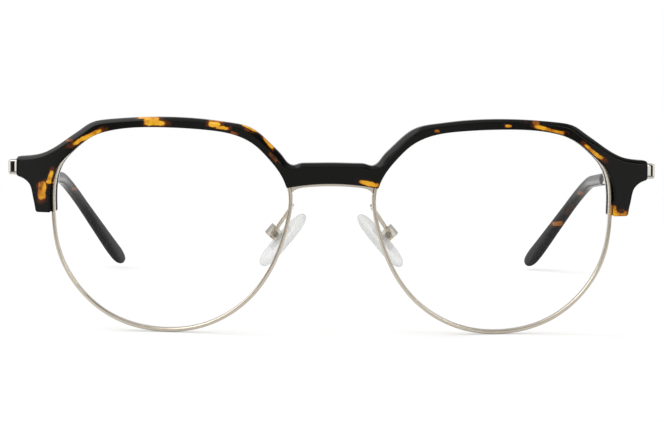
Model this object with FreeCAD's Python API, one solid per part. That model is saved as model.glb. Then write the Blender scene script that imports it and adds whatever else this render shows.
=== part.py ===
import FreeCAD, Part
import math
import os

V = FreeCAD.Vector
ACROSS = V(1, 0, 0)
BACK = V(0, 1, 0)
UP = V(0, 0, 1)

# Sizes in millimetres, angles in degrees.
# The front looks along -Y, the temples run back along +Y, and the wearer's left is at +X.

# Clearances
SEAT_GAP = 0.03           # between pieces that are brazed, glued or screwed to each other
RUN_GAP = 0.04            # radial play of a turning knuckle or tab on its screw
PLAY = 0.15               # room round a piece that must stay free

# Front
LENS_WIDTH = 50.5         # one lens opening
LENS_HEIGHT = 43.3
LENS_SPACING = 19.0       # shortest distance between the two openings
FRONT_RADIUS = 250.0      # sphere that the whole front follows
RIM_WIDTH = 1.05          # eyewire, seen from the front
RIM_DEPTH = 2.0           # eyewire, front to back
RIM_GROOVE = 0.55         # depth of the groove that holds the lens
LENS_THICKNESS = 1.5
LENS_TONGUE = 0.6         # thickness of the lens edge in its groove

# Brow
BROW_DEPTH = 4.4          # front to back
BROW_LIP = 1.25           # acetate in front of the eyewire
BROW_BAND = 2.2           # height of acetate over the crown of the lens
BROW_EDGE = 0.8           # bevel along the upper front edge
BRIDGE_RISE = 14.4        # top of the bridge over the middle of the lens
BRIDGE_HEIGHT = 4.5
BRIDGE_ARCH = 1.6         # rise of the lower edge of the bridge
BRIDGE_OVERRUN = 3.0      # lower edge carried on past the lens opening, which cuts it off
LUG_REACH = 8.8           # outer end of the brow past the lens opening
LUG_RISE = 14.9           # top of the lug over the middle of the lens
LUG_HEIGHT = 4.4
LUG_CORNER = 0.7
LEG_WIDTH = 4.5           # foot of the acetate beside the lens opening
LEG_RISE = 2.85           # foot of the acetate over the middle of the lens
LEG_CORNER = 0.6

# Metal bridge
BAR_HEIGHT = 0.95
BAR_SHOWN = 0.5           # how much of it shows under the acetate
BAR_FLARE = 2.6           # height of the fillet where it runs into the eyewire
BAR_FLARE_START = 3.6     # where the fillet starts, from the lens opening
BAR_FLARE_SAG = 0.3       # fall of the lower edge up to there

# Rim lock
LOCK_REACH = 1.7          # lock blocks past the outside of the eyewire
LOCK_DEPTH = 2.1
LOCK_HEIGHT = 2.0         # each block
LOCK_SPLIT = 0.2          # slit in the eyewire
LOCK_RISE = 10.2          # slit over the middle of the lens
LOCK_SCREW_RADIUS = 0.4
LOCK_HEAD_RADIUS = 0.75
LOCK_HEAD_HEIGHT = 0.5

# End piece and hinge
END_THICKNESS = 1.4
END_HEIGHT = 3.2
END_DROP = 0.5            # end piece and hinge below the middle of the lug
END_PROUD = 2.6           # outer face past the end of the brow
END_BEND = 2.6            # outer radius of the bend
END_RUN = 3.2             # straight run behind the bend
BROW_SCREW_INSET = 2.9    # brow screw from the outer end of the brow
BROW_SCREW_RADIUS = 0.6
BROW_SCREW_BITE = 2.6     # length in the acetate
BROW_HEAD_RADIUS = 1.1
BROW_HEAD_HEIGHT = 0.5
HINGE_HEIGHT = 3.3
HINGE_LEAF = 0.8
HINGE_LEAF_LENGTH = 3.0
TONGUE_LEAF_LENGTH = 4.4
KNUCKLE_RADIUS = 1.3
KNUCKLE_HEIGHT = 1.06     # each of the three
HINGE_SCREW_RADIUS = 0.6
HINGE_HEAD_RADIUS = 1.05
HINGE_HEAD_HEIGHT = 0.5
SLOT_WIDTH = 0.25         # driver slot in every screw head
SLOT_DEPTH = 0.25

# Temple
BUTT_GAP = 0.2            # between the end piece and the temple
BAR_LENGTH = 73.0         # bare metal from the hinge to the tip sleeve
BEND_START = 96.3         # from the hinge to the start of the ear bend
BEND_RADIUS = 21.5
TIP_LENGTH = 23.8         # straight part behind the ear bend
EAR_DROP = 41.4           # how far that part bends down from the bar
EAR_TOE = 32.7            # how far it bends towards the other temple
TEMPLE_THICKNESS = 1.4
TEMPLE_END_HEIGHT = 2.6   # bar where it enters the sleeve
CORE_THICKNESS = 1.1
CORE_HEIGHT = 2.2
CORE_STOP = 7.0           # end of the core before the end of the tip
SLEEVE_THICKNESS = 2.5
SLEEVE_HEIGHT = 3.1       # at the front end of the sleeve
TIP_HEIGHT = 5.4          # at the rear end
TIP_ROUND = 1.1           # rounding along the sleeve
END_ROUND_SHARE = 0.98    # rounding of the sleeve's end, just under the one along it so that both can meet

# Nose pads
PAD_LENGTH = 14.6
PAD_WIDTH = 7.2
PAD_THICKNESS = 2.2
PAD_ROUND = 0.9
PAD_FRAME_ANGLE = 41.0    # lean of the pad from upright, seen from the front
PAD_SPLAY = 12.0          # turn of the pad towards the back
PAD_X = 10.6              # middle of the pad from the plane of symmetry
PAD_Y = 9.6               # behind the front of the bridge
PAD_Z = 2.9               # below the middle of the lens
PIVOT_OFFSET = 2.45       # pad screw behind the middle of the pad
BOX_LENGTH = 2.5
BOX_DEPTH = 2.6
BOX_FRONT = 0.75          # cheeks past the screw, towards the pad
BOX_BACK = 0.5            # back wall
TAB_RADIUS = 0.85
TAB_THICKNESS = 1.1
PAD_SCREW_RADIUS = 0.4
PAD_HEAD_RADIUS = 0.7
PAD_HEAD_HEIGHT = 0.35
INSERT_LENGTH = 6.0
INSERT_WIDTH = 3.2
INSERT_THICKNESS = 0.6
ARM_RADIUS = 0.45
ARM_RISE = 4.8            # where the arm leaves the eyewire, over the middle of the lens
ARM_BACK = 5.0            # straight back from the eyewire
ARM_BEND = 1.3

# Accuracy
OUTLINE_SAMPLES = 60      # points that carry an outline over to a parallel one
BEVEL_STATIONS = 40       # places along each half of the brow where the bevel is set out
BEVEL_OVERRUN = 0.33      # share of the bevel by which its cutter reaches past it on both sides
PAD_EDGE_TURNS = (0, 30, 60, 90)
SAME_PLACE = 0.001        # places closer than this are the same

# Places that follow from the sizes
LENS_X = (LENS_SPACING + LENS_WIDTH) / 2
LENS_Z = RIM_WIDTH + LENS_HEIGHT / 2
LENS_OUTER = LENS_X + LENS_WIDTH / 2
CENTRE = V(0, FRONT_RADIUS, LENS_Z)
BRIDGE_TOP = LENS_Z + BRIDGE_RISE
BRIDGE_UNDER = BRIDGE_TOP - BRIDGE_HEIGHT
LUG_END = LENS_OUTER + LUG_REACH
LUG_TOP = LENS_Z + LUG_RISE
LUG_UNDER = LUG_TOP - LUG_HEIGHT
HINGE_Z = (LUG_TOP + LUG_UNDER) / 2 - END_DROP
LEG_FOOT = LENS_Z + LEG_RISE
LOCK_Z = LENS_Z + LOCK_RISE
RIM_FRONT = BROW_LIP + SEAT_GAP
RIM_BACK = RIM_FRONT + RIM_DEPTH
LENS_MIDDLE = RIM_FRONT + RIM_DEPTH / 2

# The lens opening as fractions of its half width and half height, counter-clockwise from the temple side
LENS_SHAPE = (
    (1.0, 0.2), (0.998, 0.394), (0.949, 0.603), (0.828, 0.768), (0.68, 0.896), (0.506, 0.963),
    (0.1, 0.999), (-0.3, 0.978), (-0.538, 0.933), (-0.7, 0.845), (-0.831, 0.703), (-0.942, 0.534),
    (-1.0, 0.325), (-0.981, 0.1), (-0.882, -0.271), (-0.662, -0.665), (-0.267, -0.949),
    (0.107, -0.996), (0.472, -0.891), (0.776, -0.617), (0.963, -0.206),
)

# The upper edge of the brow as fractions of the lens box grown by the brow's band, from nose to temple
BROW_SHAPE = (
    (-0.877, 0.658), (-0.8, 0.75), (-0.706, 0.851), (-0.644, 0.901), (-0.583, 0.93), (-0.45, 0.958),
    (-0.28, 0.982), (-0.018, 1.0), (0.299, 0.992), (0.457, 0.978), (0.553, 0.966), (0.616, 0.951),
    (0.666, 0.924), (0.714, 0.885), (0.811, 0.807), (0.907, 0.73), (0.957, 0.696),
)

# Upper edge of the bridge beside a lens, from the nasal end of the opening and the top of the bridge
BRIDGE_DIP = ((-4.0, -0.08), (-2.3, -0.25), (-1.05, -0.6), (0.0, -0.15))

# Upper edge of the brow where it runs out onto the lug, from the lug's outer end and top
LUG_SWEEP = ((-5.0, 0.55), (-2.3, 0.12))

# Underside of the lug, from its outer end, and the outer side of the leg, from the corner of its foot
LUG_HOLLOW = ((0.0, 0.0), (-1.5, -0.75), (-2.35, -1.65))
LEG_SWEEP = ((0.8, 4.7), (0.5, 3.2))

# Ways the outline of the brow runs: onto the lug's end, in under the lug and down to the foot
LUG_TOP_WAY = V(1, 0, -0.05)
LUG_UNDER_WAY = V(-1, 0, -0.25)
LEG_WAY = V(-0.1, 0, -1)


def ball(depth):
    """The inside of the front sphere, a given depth behind the front surface."""
    return Part.makeSphere(FRONT_RADIUS - depth, CENTRE)


def between(solid, front, back):
    """What lies between two depths behind the front surface."""
    return solid.common(ball(front)).cut(ball(back))


def surface_y(x, z, depth):
    """Place along Y of the surface at a given depth."""
    radius = FRONT_RADIUS - depth
    return FRONT_RADIUS - math.sqrt(radius ** 2 - x ** 2 - (z - LENS_Z) ** 2)


def lens_curve(distance):
    """The lens opening as a closed curve, grown outwards by a distance."""
    points = [V(LENS_X + u * LENS_WIDTH / 2, 0, LENS_Z + w * LENS_HEIGHT / 2) for u, w in LENS_SHAPE]
    curve = Part.BSplineCurve()
    curve.interpolate(Points=points, PeriodicFlag=True)
    if distance == 0:
        return curve
    first = curve.FirstParameter
    last = curve.LastParameter
    moved = []
    for count in range(OUTLINE_SAMPLES):
        place = first + (last - first) * count / OUTLINE_SAMPLES
        along = curve.tangent(place)[0]
        moved.append(curve.value(place) + V(along.z, 0, -along.x) * distance)
    parallel = Part.BSplineCurve()
    parallel.interpolate(Points=moved, PeriodicFlag=True)
    return parallel


def through_front(face):
    """A front view carried straight through the whole front."""
    face.translate(-BACK * FRONT_RADIUS / 4)
    return face.extrude(BACK * FRONT_RADIUS / 2)


def lens_prism(distance):
    """The lens opening, grown by a distance, as a prism through the whole front."""
    return through_front(Part.Face(Part.Wire([lens_curve(distance).toShape()])))


def box_around(low, high):
    """A block between two corners."""
    size = high - low
    return Part.makeBox(size.x, size.y, size.z, low)


def cylinder(start, direction, radius, length):
    return Part.makeCylinder(radius, length, start, direction)


def screw(tip, direction, radius, length, head_radius, head_height, slot_along):
    """A screw from its tip to a slotted cheese head."""
    direction = V(direction).normalize()
    shank = cylinder(tip, direction, radius, length)
    seat = tip + direction * length
    head = cylinder(seat, direction, head_radius, head_height)
    across = V(slot_along).normalize()
    aside = direction.cross(across)
    corner = seat + direction * (head_height - SLOT_DEPTH) - across * head_radius * 2 - aside * SLOT_WIDTH / 2
    outline = [
        corner,
        corner + across * head_radius * 4,
        corner + across * head_radius * 4 + aside * SLOT_WIDTH,
        corner + aside * SLOT_WIDTH,
        corner,
    ]
    slot = Part.Face(Part.makePolygon(outline)).extrude(direction * SLOT_DEPTH * 2)
    return shank.fuse(head).removeSplitter().cut(slot)


def spline(points, start=None, end=None):
    """A smooth open curve through points, with given end directions."""
    curve = Part.BSplineCurve()
    if start is None:
        curve.interpolate(Points=points)
    else:
        curve.interpolate(Points=points, InitialTangent=start, FinalTangent=end)
    return curve.toShape()


def line(start, end):
    return Part.LineSegment(start, end).toShape()


def arc(start, through, end):
    return Part.Arc(start, through, end).toShape()


def rounded(before, corner, after, radius):
    """Start, middle and end of the arc that rounds a corner."""
    to_before = (before - corner).normalize()
    to_after = (after - corner).normalize()
    half = to_before.getAngle(to_after) / 2
    inwards = (to_before + to_after).normalize()
    reach = radius / math.tan(half)
    middle = corner + inwards * (radius / math.sin(half) - radius)
    return corner + to_before * reach, middle, corner + to_after * reach


def mirrored(shape):
    """The same piece on the other side of the plane of symmetry."""
    return shape.mirror(V(0, 0, 0), ACROSS)


# Brow

def brow_top_points():
    """Upper edge of the brow from the plane of symmetry to the top of the lug."""
    points = [V(0, 0, BRIDGE_TOP)]
    for aside, rise in BRIDGE_DIP:
        points.append(V(LENS_SPACING / 2 + aside, 0, BRIDGE_TOP + rise))
    for u, w in BROW_SHAPE:
        x = LENS_X + u * (LENS_WIDTH / 2 + BROW_BAND)
        z = LENS_Z + w * (LENS_HEIGHT / 2 + BROW_BAND)
        points.append(V(x, 0, z))
    for aside, rise in LUG_SWEEP:
        points.append(V(LUG_END + aside, 0, LUG_TOP + rise))
    points.append(V(LUG_END - LUG_CORNER, 0, LUG_TOP))
    return points


def bridge_end(z):
    """End of a curve along the underside of the bridge, inside the lens opening."""
    return V(LENS_SPACING / 2 + BRIDGE_OVERRUN, 0, z - BRIDGE_ARCH)


def bridge_curve(z):
    """Arch from one lens opening to the other, with its middle at a given height."""
    end = bridge_end(z)
    return arc(V(-end.x, 0, end.z), V(0, 0, z), end)


def brow_half_edges():
    """Edges of one half of the brow, from the top of the bridge round to the middle of its underside."""
    top = brow_top_points()
    top_edge = spline(top, ACROSS, LUG_TOP_WAY)
    turn = math.sqrt(0.5) * LUG_CORNER
    upper_end = V(LUG_END, 0, LUG_TOP - LUG_CORNER)
    upper_middle = V(LUG_END - LUG_CORNER + turn, 0, LUG_TOP - LUG_CORNER + turn)
    lower_end = V(LUG_END, 0, LUG_UNDER + LUG_CORNER)
    lower_start = V(LUG_END - LUG_CORNER, 0, LUG_UNDER)
    lower_middle = V(LUG_END - LUG_CORNER + turn, 0, LUG_UNDER + LUG_CORNER - turn)
    foot_corner = V(LENS_OUTER + LEG_WIDTH, 0, LEG_FOOT)
    foot_start = foot_corner + UP * LEG_CORNER
    foot_end = foot_corner - ACROSS * LEG_CORNER
    foot_turn = LEG_CORNER - math.sqrt(0.5) * LEG_CORNER
    foot_middle = foot_corner + V(-foot_turn, 0, foot_turn)
    under = [lower_start + V(aside, 0, rise) for aside, rise in LUG_HOLLOW]
    under += [foot_corner + V(aside, 0, rise) for aside, rise in LEG_SWEEP]
    under.append(foot_start)
    inside_temple = V(LENS_X + LENS_WIDTH / 4, 0, LEG_FOOT)
    return top_edge, [
        arc(top[-1], upper_middle, upper_end),
        line(upper_end, lower_end),
        arc(lower_end, lower_middle, lower_start),
        spline(under, LUG_UNDER_WAY, LEG_WAY),
        arc(foot_start, foot_middle, foot_end),
        line(foot_end, inside_temple),
        line(inside_temple, bridge_end(BRIDGE_UNDER)),
    ]


def leg_window():
    """The part of the front lip that is cut back so that the eyewire shows beside the legs."""
    low = V(LENS_X, -FRONT_RADIUS, LENS_Z)
    high = V(LUG_END, FRONT_RADIUS, LUG_UNDER)
    return lens_prism(RIM_WIDTH + SEAT_GAP).common(box_around(low, high))


def lock_notch():
    """Room in the rear wall of the brow for the rim lock."""
    low = V(LENS_X, -FRONT_RADIUS, LOCK_Z - LOCK_SPLIT / 2 - LOCK_HEIGHT - LOCK_HEAD_HEIGHT - PLAY * 2)
    high = V(LUG_END, FRONT_RADIUS, LOCK_Z + LOCK_SPLIT / 2 + LOCK_HEIGHT + PLAY)
    grown = lens_prism(RIM_WIDTH + LOCK_REACH + PLAY)
    return between(grown.common(box_around(low, high)), RIM_BACK - SEAT_GAP, BROW_DEPTH + PLAY)


def make_brow():
    top_edge, side_edges = brow_half_edges()
    half = [top_edge] + side_edges
    edges = half + [bridge_curve(BRIDGE_UNDER)] + [mirrored(edge) for edge in half]
    outline = Part.Wire(Part.__sortEdges__(edges))
    solid = between(through_front(Part.Face(outline)), 0, BROW_DEPTH)
    solid = solid.cut(upper_bevel(top_edge))
    opening = lens_prism(0)
    groove = between(lens_prism(RIM_WIDTH + SEAT_GAP), BROW_LIP, RIM_BACK + SEAT_GAP)
    window = between(leg_window(), -PLAY, RIM_BACK)
    cuts = []
    for tool in (opening, groove, window, lock_notch(), brow_screw_hole()):
        cuts += [tool, mirrored(tool)]
    cuts.append(bar_room())
    return solid.cut(cuts)


def bevel_section(point, along):
    """Triangle across the upper front edge; its long side is the bevel, its far corner is outside."""
    inward = V(along.z, 0, -along.x)
    low = point + inward * BROW_EDGE
    on_front = V(low.x, surface_y(low.x, low.z, 0), low.z)
    on_top = V(point.x, surface_y(point.x, point.z, 0) + BROW_EDGE, point.z)
    past = (on_front - on_top) * BEVEL_OVERRUN
    outside = V(point.x, surface_y(point.x, point.z, 0) - BROW_EDGE, point.z) - inward * BROW_EDGE
    return Part.makePolygon([on_front + past, on_top - past, outside, on_front + past])


def upper_bevel(top_edge):
    """What the bevel along the top of the brow takes away, from one lug to the other."""
    curve = top_edge.Curve
    first = top_edge.FirstParameter
    step = (top_edge.LastParameter - first) / BEVEL_STATIONS
    places = [first + step * count for count in range(BEVEL_STATIONS + 1)]
    stations = [(curve.value(place), curve.tangent(place)[0]) for place in places]
    end, along = stations[-1]
    stations.append((end + along * LUG_CORNER * 2, along))
    other_side = [(V(-point.x, 0, point.z), V(way.x, 0, -way.z)) for point, way in stations[:0:-1]]
    sections = [bevel_section(point, way) for point, way in other_side + stations]
    return Part.makeLoft(sections, True, True)


# Rims, lenses and the metal bridge

def make_eyewire():
    ring = between(lens_prism(RIM_WIDTH).cut(lens_prism(0)), RIM_FRONT, RIM_BACK)
    half = LENS_TONGUE / 2 + SEAT_GAP
    groove = between(lens_prism(RIM_GROOVE), LENS_MIDDLE - half, LENS_MIDDLE + half)
    low = V(LENS_X, -FRONT_RADIUS, LOCK_Z - LOCK_SPLIT / 2)
    high = V(LUG_END, FRONT_RADIUS, LOCK_Z + LOCK_SPLIT / 2)
    return ring.cut(groove).cut(box_around(low, high))


def make_lens():
    pane = between(lens_prism(-SEAT_GAP), LENS_MIDDLE - LENS_THICKNESS / 2, LENS_MIDDLE + LENS_THICKNESS / 2)
    half = LENS_TONGUE / 2
    tongue = between(lens_prism(RIM_GROOVE - SEAT_GAP), LENS_MIDDLE - half, LENS_MIDDLE + half)
    return pane.fuse(tongue).removeSplitter()


def bar_prism(margin):
    """The metal bridge, grown by a margin, through the whole front and before the eyewires cut its ends."""
    top = BRIDGE_UNDER + BAR_HEIGHT - BAR_SHOWN + margin
    bottom = BRIDGE_UNDER - BAR_SHOWN - margin
    upper_end = bridge_end(top)
    flare_start = V(LENS_SPACING / 2 - BAR_FLARE_START, 0, bottom - BAR_FLARE_SAG)
    flare_end = V(LENS_SPACING / 2 - RIM_WIDTH / 2, 0, bottom - BAR_FLARE_SAG - BAR_FLARE)
    corner = V(upper_end.x, 0, flare_end.z)
    lower = arc(V(-flare_start.x, 0, flare_start.z), V(0, 0, bottom), flare_start)
    flare = spline([flare_start, flare_end], lower.tangentAt(lower.LastParameter), -UP)
    half = [flare, line(flare_end, corner), line(corner, upper_end)]
    edges = [bridge_curve(top), lower] + half + [mirrored(edge) for edge in half]
    return through_front(Part.Face(Part.Wire(Part.__sortEdges__(edges))))


def make_bridge_bar():
    solid = between(bar_prism(0), RIM_FRONT, RIM_BACK)
    rim = lens_prism(RIM_WIDTH + SEAT_GAP)
    return solid.cut([rim, mirrored(rim)])


def bar_room():
    """Groove in the underside of the acetate bridge."""
    return between(bar_prism(SEAT_GAP), BROW_LIP, RIM_BACK + SEAT_GAP)


# Rim lock

def lock_screw_place():
    x = LENS_OUTER + (RIM_WIDTH + LOCK_REACH) / 2
    depth = RIM_BACK + LOCK_DEPTH / 2
    return x, surface_y(x, LOCK_Z, depth)


def make_lock_block(low_z):
    """One of the two blocks that draw the split eyewire together."""
    ring = lens_prism(RIM_WIDTH + LOCK_REACH).cut(lens_prism(SEAT_GAP))
    low = V(LENS_X, -FRONT_RADIUS, low_z)
    high = V(LUG_END, FRONT_RADIUS, low_z + LOCK_HEIGHT)
    block = between(ring.common(box_around(low, high)), RIM_BACK + SEAT_GAP, RIM_BACK + LOCK_DEPTH)
    x, y = lock_screw_place()
    bore = cylinder(V(x, y, low_z - LOCK_HEIGHT), UP, LOCK_SCREW_RADIUS + SEAT_GAP, LOCK_HEIGHT * 3)
    return block.cut(bore)


def make_lock_screw():
    x, y = lock_screw_place()
    length = LOCK_SPLIT + LOCK_HEIGHT * 2 + SEAT_GAP
    tip = V(x, y, LOCK_Z + LOCK_SPLIT / 2 + LOCK_HEIGHT)
    return screw(tip, -UP, LOCK_SCREW_RADIUS, length, LOCK_HEAD_RADIUS, LOCK_HEAD_HEIGHT, ACROSS)


# End piece

END_OUTER = LUG_END + END_PROUD
LUG_MIDDLE = LUG_END - BROW_SCREW_INSET
LUG_SLOPE = math.asin(LUG_MIDDLE / (FRONT_RADIUS - BROW_DEPTH))
STRAP_ALONG = V(math.cos(LUG_SLOPE), math.sin(LUG_SLOPE), 0)
STRAP_BACK = V(-math.sin(LUG_SLOPE), math.cos(LUG_SLOPE), 0)
STRAP_Y = surface_y(LUG_MIDDLE, HINGE_Z + END_HEIGHT / 2, BROW_DEPTH) + SEAT_GAP * 2
BEND_TANGENT = END_BEND * math.tan((math.pi / 2 - LUG_SLOPE) / 2)
STRAP_CORNER_Y = STRAP_Y + (END_OUTER - LUG_MIDDLE) * math.tan(LUG_SLOPE)
BUTT_Y = STRAP_CORNER_Y + BEND_TANGENT + END_RUN
INNER_FACE = END_OUTER - END_THICKNESS
HINGE_X = INNER_FACE - SEAT_GAP - KNUCKLE_RADIUS
HINGE_Y = BUTT_Y + BUTT_GAP / 2


def make_end_piece():
    """Strap behind the lug that turns round the outer end of the brow and back to the hinge."""
    front_line = V(LUG_MIDDLE, STRAP_Y, 0)
    start = front_line - STRAP_ALONG * (LUG_REACH + LOCK_REACH)
    corner = V(END_OUTER, STRAP_CORNER_Y, 0)
    end = V(END_OUTER, BUTT_Y, 0)
    outer = rounded(start, corner, end, END_BEND)
    inner_start = start + STRAP_BACK * END_THICKNESS
    inner_end = end - ACROSS * END_THICKNESS
    reach = (END_OUTER - END_THICKNESS - inner_start.x) / math.cos(LUG_SLOPE)
    inner_corner = inner_start + STRAP_ALONG * reach
    inner = rounded(inner_start, inner_corner, inner_end, END_BEND - END_THICKNESS)
    edges = [
        line(start, outer[0]),
        arc(*outer),
        line(outer[2], end),
        line(end, inner_end),
        line(inner_end, inner[2]),
        arc(inner[2], inner[1], inner[0]),
        line(inner[0], inner_start),
        line(inner_start, start),
    ]
    face = Part.Face(Part.Wire(edges))
    face.translate(UP * (HINGE_Z - END_HEIGHT / 2))
    strap = face.extrude(UP * END_HEIGHT)
    strap = strap.cut(lens_prism(RIM_WIDTH + LOCK_REACH + SEAT_GAP))
    return strap.cut(brow_screw_hole())


def brow_screw_tip():
    """Front end of the brow screw, inside the lug."""
    seat = V(LUG_MIDDLE, STRAP_Y, HINGE_Z)
    return seat - STRAP_BACK * BROW_SCREW_BITE


def brow_screw_hole():
    start = brow_screw_tip() - STRAP_BACK * PLAY
    length = PLAY + BROW_SCREW_BITE + END_THICKNESS * 2
    return cylinder(start, STRAP_BACK, BROW_SCREW_RADIUS + SEAT_GAP, length)


def make_brow_screw():
    length = BROW_SCREW_BITE + END_THICKNESS + SEAT_GAP
    return screw(
        brow_screw_tip(), STRAP_BACK, BROW_SCREW_RADIUS, length, BROW_HEAD_RADIUS, BROW_HEAD_HEIGHT, UP
    )


# Hinge

KNUCKLE_STEP = (HINGE_HEIGHT - KNUCKLE_HEIGHT) / 2


def knuckle(level, leaf_y):
    """One knuckle with the web that joins it to its leaf; level is -1, 0 or 1 from the bottom."""
    low_z = HINGE_Z + level * KNUCKLE_STEP - KNUCKLE_HEIGHT / 2
    barrel = cylinder(V(HINGE_X, HINGE_Y, low_z), UP, KNUCKLE_RADIUS, KNUCKLE_HEIGHT)
    low = V(HINGE_X, min(HINGE_Y, leaf_y), low_z)
    high = V(INNER_FACE - SEAT_GAP, max(HINGE_Y, leaf_y), low_z + KNUCKLE_HEIGHT)
    return barrel.fuse(box_around(low, high))


def hinge_leaf(start_y, end_y):
    low = V(INNER_FACE - SEAT_GAP - HINGE_LEAF, start_y, HINGE_Z - HINGE_HEIGHT / 2)
    high = V(INNER_FACE - SEAT_GAP, end_y, HINGE_Z + HINGE_HEIGHT / 2)
    return box_around(low, high)


def make_hinge_fork():
    """The two outer knuckles, on the end piece."""
    leaf_end = HINGE_Y - KNUCKLE_RADIUS - PLAY
    leaf = hinge_leaf(HINGE_Y - HINGE_LEAF_LENGTH, leaf_end)
    fork = leaf.fuse([knuckle(-1, leaf_end), knuckle(1, leaf_end)])
    bore = cylinder(V(HINGE_X, HINGE_Y, 0), UP, HINGE_SCREW_RADIUS + SEAT_GAP, HINGE_Z * 2)
    return fork.cut(bore).removeSplitter()


def make_hinge_tongue():
    """The middle knuckle, on the temple."""
    leaf_start = HINGE_Y + KNUCKLE_RADIUS + PLAY
    leaf = hinge_leaf(leaf_start, HINGE_Y + TONGUE_LEAF_LENGTH)
    tongue = leaf.fuse(knuckle(0, leaf_start))
    bore = cylinder(V(HINGE_X, HINGE_Y, 0), UP, HINGE_SCREW_RADIUS + RUN_GAP, HINGE_Z * 2)
    return tongue.cut(bore).removeSplitter()


def make_hinge_screw():
    tip = V(HINGE_X, HINGE_Y, HINGE_Z - HINGE_HEIGHT / 2)
    length = HINGE_HEIGHT + SEAT_GAP
    return screw(tip, UP, HINGE_SCREW_RADIUS, length, HINGE_HEAD_RADIUS, HINGE_HEAD_HEIGHT, ACROSS)


# Temple and its tip

# The bar and its tip keep their shape, and tilt down from the hinge until the tip meets the floor
TEMPLE_START = V(END_OUTER - TEMPLE_THICKNESS / 2, BUTT_Y + BUTT_GAP, HINGE_Z)
DROP = math.radians(EAR_DROP)
TOE = math.radians(EAR_TOE)
LEVEL_TIP = V(-math.sin(TOE) * math.cos(DROP), math.cos(TOE) * math.cos(DROP), -math.sin(DROP))
LEVEL_AXIS = BACK.cross(LEVEL_TIP).normalize()
BEND_ANGLE = math.degrees(BACK.getAngle(LEVEL_TIP))
LEVEL_TURN = FreeCAD.Rotation(LEVEL_AXIS, BEND_ANGLE)
LEVEL_CENTRE = BACK * BEND_START + LEVEL_AXIS.cross(BACK) * BEND_RADIUS
LEVEL_START = LEVEL_CENTRE + LEVEL_TURN.multVec(BACK * BEND_START - LEVEL_CENTRE)
LEVEL_FOOT = (
    LEVEL_START
    + LEVEL_TIP * (TIP_LENGTH - TIP_ROUND)
    - LEVEL_TURN.multVec(UP) * (TIP_HEIGHT / 2 - TIP_ROUND)
)
FOOT_ANGLE = math.atan2(-LEVEL_FOOT.z, LEVEL_FOOT.y)
TILT_ANGLE = math.asin((HINGE_Z - TIP_ROUND) / math.hypot(LEVEL_FOOT.y, LEVEL_FOOT.z)) - FOOT_ANGLE
TILT = FreeCAD.Rotation(ACROSS, -math.degrees(TILT_ANGLE))
BAR_ALONG = TILT.multVec(BACK)
BAR_UP = TILT.multVec(UP)
TIP_ALONG = TILT.multVec(LEVEL_TIP)
TIP_ACROSS = TILT.multVec(LEVEL_TURN.multVec(ACROSS))
TIP_UP = TILT.multVec(LEVEL_TURN.multVec(UP))
BEND_AXIS = TILT.multVec(LEVEL_AXIS)
BEND_POINT = TEMPLE_START + BAR_ALONG * BEND_START
BEND_CENTRE = TEMPLE_START + TILT.multVec(LEVEL_CENTRE)
TIP_START = TEMPLE_START + TILT.multVec(LEVEL_START)
TIP_END = TIP_START + TIP_ALONG * TIP_LENGTH


def section(middle, across, up, width, height, corner=0):
    """A rectangle, with rounded corners if asked for, square to the temple's run."""
    half_across = across * width / 2
    half_up = up * height / 2
    corners = [
        middle - half_across - half_up,
        middle + half_across - half_up,
        middle + half_across + half_up,
        middle - half_across + half_up,
    ]
    if corner == 0:
        return Part.makePolygon(corners + corners[:1])
    arcs = [rounded(corners[k - 1], corners[k], corners[(k + 1) % 4], corner) for k in range(4)]
    edges = []
    for k in range(4):
        edges.append(arc(*arcs[k]))
        edges.append(line(arcs[k][2], arcs[(k + 1) % 4][0]))
    return Part.Wire(edges)


def loft(first, last):
    return Part.makeLoft([first, last], True, True)


def ear_run(start, stop, width, height, rear_height, corner=0):
    """A bar from a distance along the temple, round the ear bend, to a distance short of the tip's end."""
    first = section(TEMPLE_START + BAR_ALONG * start, ACROSS, BAR_UP, width, height, corner)
    second = section(BEND_POINT, ACROSS, BAR_UP, width, height, corner)
    third = section(TIP_START, TIP_ACROSS, TIP_UP, width, height, corner)
    fourth = section(TIP_END - TIP_ALONG * stop, TIP_ACROSS, TIP_UP, width, rear_height, corner)
    bend = Part.Face(second).revolve(BEND_CENTRE, BEND_AXIS, BEND_ANGLE)
    return loft(first, second).fuse([bend, loft(third, fourth)]).removeSplitter()


def make_temple():
    start = section(
        TEMPLE_START - BAR_ALONG * END_HEIGHT, ACROSS, BAR_UP, TEMPLE_THICKNESS, END_HEIGHT
    )
    end = section(
        TEMPLE_START + BAR_ALONG * BAR_LENGTH, ACROSS, BAR_UP, TEMPLE_THICKNESS, TEMPLE_END_HEIGHT
    )
    low = V(0, TEMPLE_START.y, -FRONT_RADIUS)
    high = V(FRONT_RADIUS, FRONT_RADIUS, FRONT_RADIUS)
    bar = loft(start, end).common(box_around(low, high))
    core = ear_run(BAR_LENGTH - END_THICKNESS, CORE_STOP, CORE_THICKNESS, CORE_HEIGHT, CORE_HEIGHT)
    return bar.fuse(core).removeSplitter()


def make_temple_tip():
    front = BAR_LENGTH + SEAT_GAP
    sleeve = ear_run(front, 0, SLEEVE_THICKNESS, SLEEVE_HEIGHT, TIP_HEIGHT, TIP_ROUND)
    end_edges = []
    for edge in sleeve.Edges:
        middle = edge.valueAt((edge.FirstParameter + edge.LastParameter) / 2)
        if abs((middle - TIP_END).dot(TIP_ALONG)) < SAME_PLACE:
            end_edges.append(edge)
    sleeve = sleeve.makeFillet(TIP_ROUND * END_ROUND_SHARE, end_edges)
    width = CORE_THICKNESS + SEAT_GAP * 2
    height = CORE_HEIGHT + SEAT_GAP * 2
    bore = ear_run(front - END_THICKNESS, CORE_STOP - SEAT_GAP, width, height, height)
    return sleeve.cut(bore)


# Nose pad

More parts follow.
